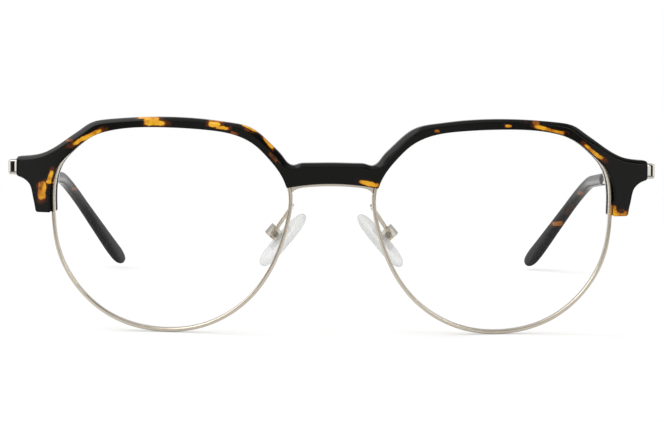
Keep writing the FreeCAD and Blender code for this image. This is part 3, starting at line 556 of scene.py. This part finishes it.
def tip_acetate():
    """Smoky acetate: greyer nearer the front of its run and black further back towards the tip,
    with a few brown spots."""
    material, f = new_finish("tip_acetate")
    place = f.millimetres()
    spots = flecks(f, warped(f, place, scale=0.8, amount=0.6), TIP_FLECKS)
    smoke = f.spread(f.noise(place, scale=0.3, detail=4.0), 0.5, 0.75, 0.0, 0.3)
    # Grey added to the colour: 0.16 nearer the front, fading to none further back along y, with a
    # little noise in where it fades.
    uneven = f.part(place, "Y") + 4.0 * f.noise(place, scale=0.2, detail=2.0)
    thin = f.spread(uneven, 42.0, 63.0, 0.16, 0.0)
    grey = f.node("ShaderNodeCombineColor", None, {"Red": thin, "Green": thin, "Blue": thin})
    colour = f.node(
        "ShaderNodeMix", {"data_type": "RGBA", "blend_type": "ADD"},
        {"Factor": 1.0, "A": f.ramp(spots | smoke, TIP_STOPS), "B": grey}, "Result"
    )
    marks = f.noise(place, scale=2.0, detail=4.0)
    f.surface(
        Base_Color=colour,
        Roughness=f.spread(marks, 0.3, 0.8, 0.22, 0.32),
        Normal=f.bump(marks, strength=0.05, distance=0.0001),
        IOR=ACETATE_IOR,
        Specular_IOR_Level=0.22,
    )
    return material


def plated_metal(name, colour, share, low, high, brushing):
    """Plated metal: faint cloudy wear in its gloss, and fine brushing in its bump."""
    material, f = new_finish(name)
    place = f.millimetres()
    wear = f.noise(place, scale=0.8, detail=4.0)
    grain = f.noise(place, scale=9.0, detail=2.0)
    worn = [0.92 * part for part in colour]
    f.surface(
        Base_Color=f.ramp(wear, ((0.3, worn), (0.7, colour))),
        Metallic=share,
        Roughness=f.spread(wear, 0.3, 0.75, low, high),
        Normal=f.bump(grain, strength=brushing, distance=0.00002),
    )
    return material


def clear_lens():
    """Clear optical plastic: hardly there, and a little more so where it turns away."""
    material, f = new_finish("clear_lens")
    rim = f.node("ShaderNodeLayerWeight", None, {"Blend": 0.2}, "Fresnel")
    smear = f.noise(f.millimetres(), scale=0.15, detail=2.0)
    f.surface(
        Base_Color=(0.96, 0.98, 0.97, 1.0),
        Roughness=f.spread(smear, 0.3, 0.7, 0.02, 0.05),
        IOR=1.5,
        Alpha=f.spread(rim, 0.0, 1.0, 0.004, 0.3),
    )
    return material


def pad_silicone(name, colour, middle, edge):
    """Milky silicone: it lets most of what lies behind show through its middle, less at its edge,
    and has a faintly frosted skin."""
    material, f = new_finish(name)
    skin = f.noise(f.millimetres(), scale=1.2, detail=4.0)
    rim = f.node("ShaderNodeLayerWeight", None, {"Blend": 0.5}, "Facing")
    f.surface(
        Base_Color=colour,
        Roughness=f.spread(skin, 0.3, 0.7, 0.22, 0.36),
        IOR=1.4,
        Alpha=f.spread(rim + 0.1 * skin, 0.2, 1.0, middle, edge),
    )
    return material


# A metal has a colour, a share of metal, its least and most roughness, and the depth of its
# brushing. A silicone has a colour, and how solid its middle and its edge are.
FINISHES = {
    "tortoise_acetate": tortoise_acetate(),
    "tip_acetate": tip_acetate(),
    "champagne_metal": plated_metal(
        "champagne_metal", (0.84, 0.755, 0.63), 0.95, 0.12, 0.18, 0.03),
    "polished_metal": plated_metal("polished_metal", (0.86, 0.82, 0.74), 1.0, 0.04, 0.09, 0.02),
    "screw_steel": plated_metal("screw_steel", (0.42, 0.39, 0.34), 1.0, 0.18, 0.30, 0.1),
    "clear_lens": clear_lens(),
    "pad_silicone": pad_silicone("pad_silicone", (0.82, 0.825, 0.815, 1.0), 0.32, 0.64),
    "pad_core": pad_silicone("pad_core", (0.78, 0.785, 0.775, 1.0), 0.3, 0.7),
}
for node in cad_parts.values():
    slot_name = node.data.materials[0].name
    node.data.materials[0] = FINISHES[slot_name]
for side in SIDES:
    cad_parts["pad_box_" + side].data.materials[0] = FINISHES["polished_metal"]


# Lens outline, and the rim and the lens that follow it

OUTLINE = closed_curve(LENS_SHAPE * LENS_HALF + LENS_MIDDLE, 4000)


def outline_from(height):
    """The outline from the place on its temple side at a given height, counter-clockwise and back
    to it, with its outward directions."""
    x, z = OUTLINE.T
    start = int(np.argmax((x > LENS_X) & (z > height) & (np.roll(z, 1) <= height)))
    curve = np.roll(OUTLINE, -start, 0)
    ways = np.roll(right_hand(OUTLINE), -start, 0)
    return closed(curve), closed(ways)


def make_rims():
    """Wire with a rounded section carried round the lens outline, from one side of its slit to the
    other."""
    rings, round_points = 420, 28
    curve, ways = outline_from(SLIT_Z)
    length = np.linalg.norm(np.diff(curve, axis=0), axis=1).sum()
    edge = SLIT_WIDTH / 2 / length
    at = np.linspace(edge, 1 - edge, rings)
    line, way = along(curve, at), along(ways, at)
    way /= np.linalg.norm(way, axis=1)[:, None]
    wide, deep = ring_section(
        (RIM_WIDTH - RIM_EASE) / 2, (RIM_BACK - RIM_FRONT) / 2, RIM_POWER, round_points
    )
    away = (RIM_WIDTH + RIM_EASE) / 2 + wide
    flat = line[:, None] + way[:, None] * away[None, :, None]
    points = on_front(flat, (RIM_FRONT + RIM_BACK) / 2 + deep[None])
    add_pair("rim", points, "front", "champagne_metal", "eyewire")


def make_lenses():
    """Rings that shrink from the lens outline to its middle, on the front face and on the back one,
    with a thin tongue between them that enters the rim's groove."""
    thinned, rings, smallest = 20, 24, 0.02
    curve = OUTLINE[::thinned]
    way = right_hand(OUTLINE)[::thinned]
    half = (LENS_BACK - LENS_FRONT) / 2
    shrink = np.linspace(smallest, 1, rings)
    shares = np.concatenate([shrink, np.ones(4), np.linspace(1, smallest, rings)])
    tongue = np.full(2, RIM_GROOVE - LENS_PLAY)
    grow = np.concatenate([np.zeros(rings + 1), tongue, np.zeros(rings + 1)])
    level = np.concatenate([
        np.full(rings, -half), LENS_TONGUE * np.array([-1, -1, 1, 1]), np.full(rings, half)
    ])
    flat = LENS_MIDDLE + (curve - LENS_MIDDLE)[None] * shares[:, None, None]
    flat = flat + way[None] * grow[:, None, None]
    points = on_front(flat, (LENS_FRONT + LENS_BACK) / 2 + level[:, None])
    add_pair("pane", points, "front", "clear_lens", "lens")


# Brow

BRIDGE_POINTS, BAND_POINTS = 60, 320
STRIP = BRIDGE_POINTS + BAND_POINTS      # along the bridge and over a lens, above and below


def arch_z(x):
    """Height of the bridge's underside: an arc that falls by the arch at the bridge's reach."""
    bow = (BRIDGE_REACH ** 2 + BRIDGE_ARCH ** 2) / (2 * BRIDGE_ARCH)
    return BRIDGE_UNDER - bow + np.sqrt(bow ** 2 - np.clip(x, 0, bow) ** 2)


def brow_half():
    """Outline of the brow's left half, clockwise from the top of the bridge to the middle of its
    underside. Returns the points with, for each, the bevel's width, 1 beside the lens, and how far
    the rim shows."""
    crown = BROW_SHAPE * (LENS_HALF + BROW_BAND) + LENS_MIDDLE
    bridge = BRIDGE_DIP + np.array([0, BRIDGE_TOP])
    lug = LUG_SWEEP + np.array([LUG_END, LUG_TOP])
    top = open_curve(np.vstack([bridge, crown, lug]), (1, 0), (1, -0.05), 6000)
    bridge_side = int(np.argmin(np.abs(top[:, 0] - BRIDGE_SIDE_X)))
    lug_start = int(np.argmin(np.linalg.norm(top - SHOULDER, axis=1)))

    hollow = LUG_HOLLOW + np.array([LUG_END, LUG_UNDER])
    leg = LEG_SWEEP + np.array([LEG_OUTER, LEG_FOOT])
    under = open_curve(np.vstack([hollow, leg]), (-1, -0.25), (-0.1, -1), 600)

    edge, ways = outline_from(LEG_FOOT)
    hidden = smooth_step(SHOWN_FROM, SHOWN_TO, edge[:, 1])
    shown = SHOWN_RIM * (1 - hidden) * (edge[:, 0] > LENS_X)
    edge = np.column_stack([edge + ways * shown[:, None], shown])
    nasal = (edge[:, 0] < LENS_X) & (edge[:, 1] < arch_z(edge[:, 0]))
    corner = int(np.argmax(nasal))
    shoulder = int(np.argmin(np.linalg.norm(edge[:corner, :2] - SHOULDER, axis=1)))
    underside = np.linspace(edge[corner, 0], 0, 400)
    underside = np.stack([underside, arch_z(underside)], -1)

    over = along(top[bridge_side:lug_start + 1], cells(BAND_POINTS))
    steps = np.gradient(over, axis=0)
    steep = np.abs(steps[:, 1]) / np.linalg.norm(steps, axis=1)
    lug_x = LUG_END - LUG_CORNER
    lug_upper, lug_lower = LUG_TOP - LUG_CORNER, LUG_UNDER + LUG_CORNER
    lug_end = np.array([(LUG_END, lug_upper), (LUG_END, lug_lower)])
    leg_middle = (LEG_OUTER - LEG_CORNER, LEG_FOOT + LEG_CORNER)
    foot = np.array([(LEG_OUTER - LEG_CORNER, LEG_FOOT), edge[0, :2]])
    # Each stretch of the outline: its points, its bevel's width, and 1 if it lies beside the lens
    stretches = (
        (along(top[:bridge_side + 1], cells(BRIDGE_POINTS)), BEVEL_TOP, 0),
        (over, BEVEL_BAND + BEVEL_STEEP * steep, 0),
        (along(top[lug_start:], cells(80)), BEVEL_TOP, 0),
        (arc_points((lug_x, lug_upper), LUG_CORNER, 90, 0, 8), BEVEL_LUG_UPPER, 0),
        (along(lug_end, cells(22)), BEVEL_LUG_END, 0),
        (arc_points((lug_x, lug_lower), LUG_CORNER, 0, -90, 8), BEVEL_LUG_LOWER, 0),
        (along(under, cells(64)), BEVEL_LEG, 0),
        (arc_points(leg_middle, LEG_CORNER, 0, -90, 8), BEVEL_LEG, 0),
        (along(foot, cells(24)), BEVEL_LEG, 0),
        (along(edge[:shoulder + 1], cells(100)), BEVEL_LENS, 1),
        (along(edge[shoulder:corner + 1], cells(BAND_POINTS)), BEVEL_LENS, 1),
        (along(underside, cells(BRIDGE_POINTS)), BEVEL_ARCH, 0),
    )
    points = np.vstack([run[:, :2] for run, _, _ in stretches])
    width = np.concatenate([np.full(len(run), size) for run, size, _ in stretches])
    beside = np.concatenate([np.full(len(run), float(flag)) for run, _, flag in stretches])
    reveal = np.concatenate([
        run[:, 2] if run.shape[1] > 2 else np.zeros(len(run)) for run, _, _ in stretches
    ])
    return points, width, beside, reveal


def face_across(first, half, flip):
    """Faces that close one side of the brow: quads between its upper and its lower edge over bridge
    and lens, and one face for each lug with its leg."""
    k = np.arange(STRIP - 1)
    last = 2 * half - 1
    strip = np.stack([k, k + 1, half - 2 - k, half - 1 - k], -1)
    middle = np.array([[last, half, half - 1, 0]])
    quads = np.vstack([strip, (last - strip)[:, ::-1], middle])
    lug = np.arange(STRIP - 1, half - STRIP + 1)
    way = -1 if flip else 1
    lugs = [(first + side[::way]).tolist() for side in (lug, (last - lug)[::-1])]
    return (first + quads[:, ::way]).tolist() + lugs


def make_brow():
    """A section carried round the whole outline: bevel, lip, groove for the rim, rear wall and its
    rounding. Each row of points is the outline drawn in by an inset and set back by a depth. A
    bevel follows (1 - inset / width) ^ power + (1 - depth / width) ^ power = 1."""
    outline_passes, bevel_passes, step_passes = 6, 30, 4
    points, width, beside, reveal = brow_half()
    half = len(points)
    points = np.vstack([points, points[::-1] * np.array([-1, 1])])
    width, beside, reveal = (np.concatenate([row, row[::-1]]) for row in (width, beside, reveal))
    points = softened(points, outline_passes)
    width = softened(width, bevel_passes)
    beside = softened(beside, step_passes)
    reveal = softened(reveal, step_passes)

    turn = np.radians(np.linspace(0, 90, 8))[:, None]
    power = BEVEL_POWER + BEVEL_ROUNDER * smooth_step(BEVEL_WIDE, BEVEL_NARROW, width)
    front_inset = width * (1 - np.sin(turn) ** (2 / power))
    front_depth = POLISH + width * (1 - np.cos(turn) ** (2 / power))
    groove = beside * np.clip(SHOWN_RIM - reveal, 0, None)
    rear = -beside * reveal * (1 + REAR_STEP)
    level = np.zeros_like(width)
    rear_inset = rear + REAR_FILLET * (1 - np.cos(turn))
    rear_depth = BROW_DEPTH - REAR_FILLET * (1 - np.sin(turn)) + level
    lip = level + BROW_LIP
    wall = level + RIM_BACK + GROOVE_PLAY
    inset = np.vstack([
        front_inset[:1] + FACE_RING, front_inset, level, groove, groove, rear, rear_inset,
        rear_inset[-1:] + FACE_RING,
    ])
    depth = np.vstack([
        front_depth[:1], front_depth, lip, lip, wall, wall, rear_depth, rear_depth[-1:],
    ])
    flat = points[None] + right_hand(points)[None] * (POLISH + inset)[..., None]
    solid = on_front(flat, depth)
    rows, columns = solid.shape[:2]
    faces = grid_faces(rows, columns)
    faces += face_across(0, half, False) + face_across((rows - 1) * columns, half, True)
    add_piece("brow_acetate", solid, faces, "front", "tortoise_acetate", "brow")


# End pieces and temples

LUG_SLOPE = math.asin(LUG_MIDDLE / (FRONT_RADIUS - BROW_DEPTH))
STRAP_Y = float(front_y(LUG_MIDDLE, HINGE_Z + END_HEIGHT / 2, BROW_DEPTH)) + STRAP_GAP
STRAP_CORNER = np.array([END_OUTER, STRAP_Y + (END_OUTER - LUG_MIDDLE) * math.tan(LUG_SLOPE)])
BEND_TANGENT = END_BEND * math.tan((math.pi / 2 - LUG_SLOPE) / 2)
BUTT_Y = STRAP_CORNER[1] + BEND_TANGENT + END_RUN


def make_end_pieces():
    """Rounded strap carried along the back of the lug, round the bend and back to the hinge."""
    bend_rings, straight_rings, round_points = 18, 8, 44
    slope = np.array([math.cos(LUG_SLOPE), math.sin(LUG_SLOPE)])
    bend_start = STRAP_CORNER - slope * BEND_TANGENT
    centre = np.array([END_OUTER - END_BEND, STRAP_CORNER[1] + BEND_TANGENT])
    angle = np.linspace(LUG_SLOPE - math.pi / 2, 0, bend_rings)
    bend = centre + END_BEND * np.stack([np.cos(angle), np.sin(angle)], -1)
    start = bend_start - slope * END_LEAD
    lead = start + (bend_start - start) * np.linspace(0, 1, straight_rings)[:-1, None]
    tail_y = np.linspace(bend[-1, 1], BUTT_Y, straight_rings + 1)[1:]
    tail = np.stack([np.full(straight_rings, END_OUTER), tail_y], -1)
    outer = np.vstack([lead, bend, tail])
    run = np.gradient(outer, axis=0)
    inwards = np.stack([-run[:, 1], run[:, 0]], -1) / np.linalg.norm(run, axis=1)[:, None]
    middle = outer + inwards * END_THICKNESS / 2
    ends = np.ones(len(outer))
    ends[[0, -1]] = END_TAPER
    thick, high = ring_section(
        END_THICKNESS / 2 * ends, END_HEIGHT / 2 * ends, END_POWER, round_points
    )
    flat = middle[:, None] + inwards[:, None] * thick[..., None]
    points = np.concatenate([flat, (HINGE_Z + high)[..., None]], -1)
    add_pair("end_strap", points, "front", "polished_metal", "end_piece")


# The temple is first drawn level from its start, and then tilted down until its tip is on the table
ACROSS, BACK, UP = np.eye(3)
TEMPLE_START = np.array([END_OUTER - END_THICKNESS / 2, BUTT_Y + BUTT_GAP, HINGE_Z])
DROP, TOE = math.radians(EAR_DROP), math.radians(EAR_TOE)
LEVEL_TIP = np.array([
    -math.sin(TOE) * math.cos(DROP), math.cos(TOE) * math.cos(DROP), -math.sin(DROP)
])
LEVEL_AXIS = np.cross(BACK, LEVEL_TIP) / np.linalg.norm(np.cross(BACK, LEVEL_TIP))
EAR_ANGLE = math.acos(float(BACK @ LEVEL_TIP))
LEVEL_CENTRE = BACK * BEND_START + np.cross(LEVEL_AXIS, BACK) * BEND_RADIUS
LEVEL_RADIAL = BACK * BEND_START - LEVEL_CENTRE
LEVEL_START = LEVEL_CENTRE + turned(LEVEL_AXIS, EAR_ANGLE) @ LEVEL_RADIAL
LEVEL_FOOT = (
    LEVEL_START + LEVEL_TIP * (TIP_LENGTH - TIP_ROUND)
    - turned(LEVEL_AXIS, EAR_ANGLE) @ UP * (TIP_HEIGHT / 2 - TIP_ROUND)
)
TILT = (
    math.asin((HINGE_Z - TIP_ROUND) / math.hypot(LEVEL_FOOT[1], LEVEL_FOOT[2]))
    - math.atan2(-LEVEL_FOOT[2], LEVEL_FOOT[1])
)
BEND_LENGTH = BEND_RADIUS * EAR_ANGLE
RUN_LENGTH = BEND_START + BEND_LENGTH + TIP_LENGTH


def temple_run(distance):
    """Places along the temple with their sideways and upward directions: straight, round the ear
    bend, and straight again, all tilted down from the hinge."""
    bend = np.clip((distance - BEND_START) / BEND_RADIUS, 0, EAR_ANGLE)
    cos, sin = np.cos(bend)[:, None], np.sin(bend)[:, None]

    def spun(way):
        """A direction turned about the bend's axis as far as each place has gone round it."""
        beside = np.cross(LEVEL_AXIS, way)
        return way * cos + beside * sin + LEVEL_AXIS * (LEVEL_AXIS @ way) * (1 - cos)

    straight = np.minimum(distance, BEND_START)[:, None] * BACK
    beyond = np.maximum(distance - BEND_START - BEND_LENGTH, 0)[:, None]
    arc = LEVEL_CENTRE + spun(LEVEL_RADIAL) - BACK * BEND_START
    place = straight + arc + beyond * spun(BACK)
    tilt = turned(ACROSS, -TILT)
    return TEMPLE_START + place @ tilt.T, spun(ACROSS) @ tilt.T, spun(UP) @ tilt.T


def carried(distance, half_width, half_height, power, count):
    """Rounded sections set square to the temple's run, one at each distance."""
    place, across, up = temple_run(distance)
    wide, high = ring_section(half_width, half_height, power, count)
    return place[:, None] + across[:, None] * wide[..., None] + up[:, None] * high[..., None]


def make_temples():
    """Flat bar that narrows to the sleeve, steps down to the core and runs on inside the tip."""
    bar_rings, core_rings, round_points = 56, 60, 40
    first_ring = 0.5
    body = np.linspace(first_ring, BAR_LENGTH - BAR_EDGE, bar_rings)
    bar = np.concatenate([[0, BAR_EDGE], body, [BAR_LENGTH]])
    core = np.linspace(BAR_LENGTH, RUN_LENGTH - CORE_STOP, core_rings)
    tall = END_HEIGHT + (BAR_END_HEIGHT - END_HEIGHT) * bar / BAR_LENGTH
    inset = np.zeros(len(bar))
    inset[[0, -1]] = BAR_EDGE
    half_width = np.concatenate([END_THICKNESS / 2 - inset, np.full(core_rings, CORE_SIZE[0] / 2)])
    half_height = np.concatenate([tall / 2 - inset, np.full(core_rings, CORE_SIZE[1] / 2)])
    distance = np.concatenate([bar, core])
    points = carried(distance, half_width, half_height, BAR_POWER, round_points)
    add_pair("temple_bar", points, "temple", "polished_metal", "temple")


def make_temple_tips():
    """Sleeve that starts inside its bore, turns out over a rounded lip, follows the ear bend,
    widens towards its end and closes in a round that rises a little. Its outer side thins towards
    the end along a quarter of an ellipse."""
    lip_rings, body_rings, cap_rings, round_points = 6, 90, 18, 40
    closing_angle, thinnest = 86, 0.999
    length = RUN_LENGTH - BAR_LENGTH - SLEEVE_GAP
    turn = np.radians(np.linspace(0, 90, lip_rings))
    close = np.radians(np.linspace(0, closing_angle, cap_rings))[1:]
    lip = SLEEVE_LIP * (1 - np.cos(turn))
    body = np.linspace(SLEEVE_LIP, length - TIP_CAP, body_rings)[1:]
    cap = length - TIP_CAP + TIP_CAP * np.sin(close)
    offset = np.concatenate([[BORE_DEPTH, 0.0], lip, body, cap])
    drawn_in = np.concatenate([
        [0, 0], SLEEVE_LIP * (1 - np.sin(turn)), np.zeros(len(body) + len(cap))
    ])
    shrink = np.concatenate([np.ones(2 + len(lip) + len(body)), np.cos(close)]) ** TIP_CLOSE
    share = np.clip((offset + BAR_LENGTH - BEND_START - BEND_LENGTH) / TIP_LENGTH, 0, 1)
    tall = (SLEEVE_SIZE[1] + (TIP_HEIGHT - SLEEVE_SIZE[1]) * share) / 2
    thin = (offset - length + TIP_THINNING) / TIP_THINNING
    thin = np.sqrt(1 - np.clip(thin, 0, thinnest) ** 2)
    half_width = (SLEEVE_SIZE[0] / 2 - drawn_in) * thin
    half_height = (tall - drawn_in) * shrink
    half_width[:2] = CORE_SIZE[0] / 2 + BORE_PLAY
    half_height[:2] = CORE_SIZE[1] / 2 + BORE_PLAY
    distance = BAR_LENGTH + SLEEVE_GAP + offset
    points = carried(distance, half_width, half_height, SLEEVE_POWER, round_points)
    _, across, up = temple_run(distance)
    points += up[:, None] * (TIP_RISE * tall * (1 - shrink))[:, None, None]
    points -= across[:, None] * (TIP_LEAN * SLEEVE_SIZE[0] / 2 * (1 - thin))[:, None, None]
    add_pair("tip_sleeve", points, "temple", "tip_acetate", "temple_tip")


# Nose pads

def make_pads():
    """Rings of the pad's outline that shrink towards both faces as a flattened round:
    share ^ 6 + (level / half thickness) ^ 2.6 = 1."""
    rings, round_points, last_ring = 41, 96, 88
    lean, splay = math.radians(PAD_LEAN), math.radians(PAD_SPLAY)
    long_way = np.array([-math.sin(lean), 0, math.cos(lean)])
    inward = np.array([-math.cos(lean), 0, -math.sin(lean)])
    face_way = inward * math.cos(splay) + BACK * math.sin(splay)
    back_way = BACK * math.cos(splay) - inward * math.sin(splay)
    outline = closed_curve(PAD_SHAPE * np.array([PAD_LENGTH / 2, PAD_WIDTH / 2]), round_points)
    turn = np.radians(np.linspace(-last_ring, last_ring, rings))
    share = np.cos(turn) ** (2 / PAD_RING_POWER)
    level = np.sign(np.sin(turn)) * np.abs(np.sin(turn)) ** (2 / PAD_LEVEL_POWER)
    level = (level * PAD_THICKNESS / 2)[:, None, None]
    ring = outline[None] * share[:, None, None]
    flat = ring[..., :1] * long_way + ring[..., 1:] * back_way
    add_pair("pad", PAD_MIDDLE + flat + level * face_way, "pad", "pad_silicone", "nose_pad")


make_rims()
make_lenses()
make_brow()
make_end_pieces()
make_temples()
make_temple_tips()
make_pads()


# Studio

def seen(finish):
    """Two switches: 1 for what the camera sees straight or through something clear, and 1 for what
    it sees in a polished surface."""
    camera, through, polished = (
        finish.node("ShaderNodeLightPath", out="Is " + ray + " Ray")
        for ray in ("Camera", "Transmission", "Glossy")
    )
    return camera | through, polished


def make_floor():
    """Round table top: rings of points about the middle, on z = 0. Its middle is matte and keeps
    the shadow, with a glow that brings it up to white, and further out the glow alone is white.
    Polished surfaces see it bright behind the part and dim in front of it."""
    round_points = 96
    turn = np.linspace(0, 2 * math.pi, round_points, endpoint=False)
    radius = TABLE_RADII[:, None]
    points = np.stack([radius * np.cos(turn), radius * np.sin(turn), 0 * radius * turn], -1)
    faces = grid_faces(len(TABLE_RADII), round_points) + [list(range(round_points))]
    mesh = bpy.data.meshes.new("table")
    mesh.from_pydata(points.reshape(-1, 3).tolist(), [], faces)
    table = bpy.data.objects.new("table", mesh)
    bpy.context.scene.collection.objects.link(table)
    material, f = new_finish("table_white")
    place = f.millimetres()
    far = f.vector("LENGTH", place, "Value")
    near = f.spread(far, TABLE_NEAR, TABLE_FAR, 1.0, 0.0)
    behind = f.spread(f.part(place, "Y"), *TABLE_MIRROR)
    shade = f.ramp(near, ((0.0, (0, 0, 0)), (1.0, (TABLE_GREY,) * 3)))
    matte = f.node("ShaderNodeBsdfDiffuse", None, {"Color": shade})
    straight, polished = seen(f)
    mirrored = (1.0 - straight) * polished * behind
    strength = (straight + mirrored) * (1.0 - TABLE_DIMMED * near)
    glow = f.node("ShaderNodeEmission", None, {"Color": (1, 1, 1, 1), "Strength": strength})
    f.output(f.node("ShaderNodeAddShader", None, {0: matte, 1: glow}))
    mesh.materials.append(material)


def make_world():
    """White background, and plain soft light from all round. Polished surfaces see white behind
    the part towards either side, half as bright straight behind it, a bright patch overhead and one
    straight in front, and a dim room elsewhere."""
    world = bpy.data.worlds.new("studio")
    bpy.context.scene.world = world
    f = Finish(world)
    way = f.node("ShaderNodeTexCoord", out="Generated")
    sideways, backwards, upwards = (f.part(way, axis) for axis in "XYZ")
    apart = f.spread(sideways * sideways, 0.1, 0.5, 0.45, 1.0)
    behind = f.spread(backwards, 0.0, 0.5) * apart
    above = f.spread(upwards - 0.35 * sideways, 0.6, 1.05, 0.0, 0.85)
    front = f.spread(0.0 - backwards, 0.82, 0.97, 0.015, 0.6)
    room = front + (1.0 - front) * (behind | above)
    straight, polished = seen(f)
    unseen = polished * room + (1.0 - polished) * ROOM_LIGHT
    strength = straight + (1.0 - straight) * unseen
    light = f.node("ShaderNodeBackground", None, {"Color": (1, 1, 1, 1), "Strength": strength})
    f.output(light, "ShaderNodeOutputWorld")


def add_lamp(name, place, width, height, power):
    """Oblong lamp at a place, turned to face the middle of the part."""
    lamp = bpy.data.lights.new(name, "AREA")
    lamp.shape = "RECTANGLE"
    lamp.size, lamp.size_y = width, height
    lamp.energy = power
    holder = bpy.data.objects.new(name, lamp)
    bpy.context.scene.collection.objects.link(holder)
    holder.location = place
    holder.rotation_mode = "QUATERNION"
    holder.rotation_quaternion = holder.location.to_track_quat("Z", "Y")


def make_camera():
    """Camera in front of the bridge, a little above it, at the photograph's angle."""
    camera = bpy.data.cameras.new("camera")
    camera.sensor_width = CAMERA_SENSOR
    camera.lens = CAMERA_LENS
    camera.shift_x = CAMERA_SHIFT
    camera.clip_start, camera.clip_end = CAMERA_CLIP
    holder = bpy.data.objects.new("camera", camera)
    bpy.context.scene.collection.objects.link(holder)
    holder.location = (CAMERA_X, (PLACE[1] - CAMERA_AWAY) * METRE, CAMERA_Z)
    holder.rotation_euler = (math.radians(90 - CAMERA_PITCH), math.radians(-CAMERA_ROLL), 0)
    bpy.context.scene.camera = holder


make_floor()
make_world()
for lamp_row in LAMPS:
    add_lamp(*lamp_row)
make_camera()
bpy.context.scene.view_settings.view_transform = "Standard"
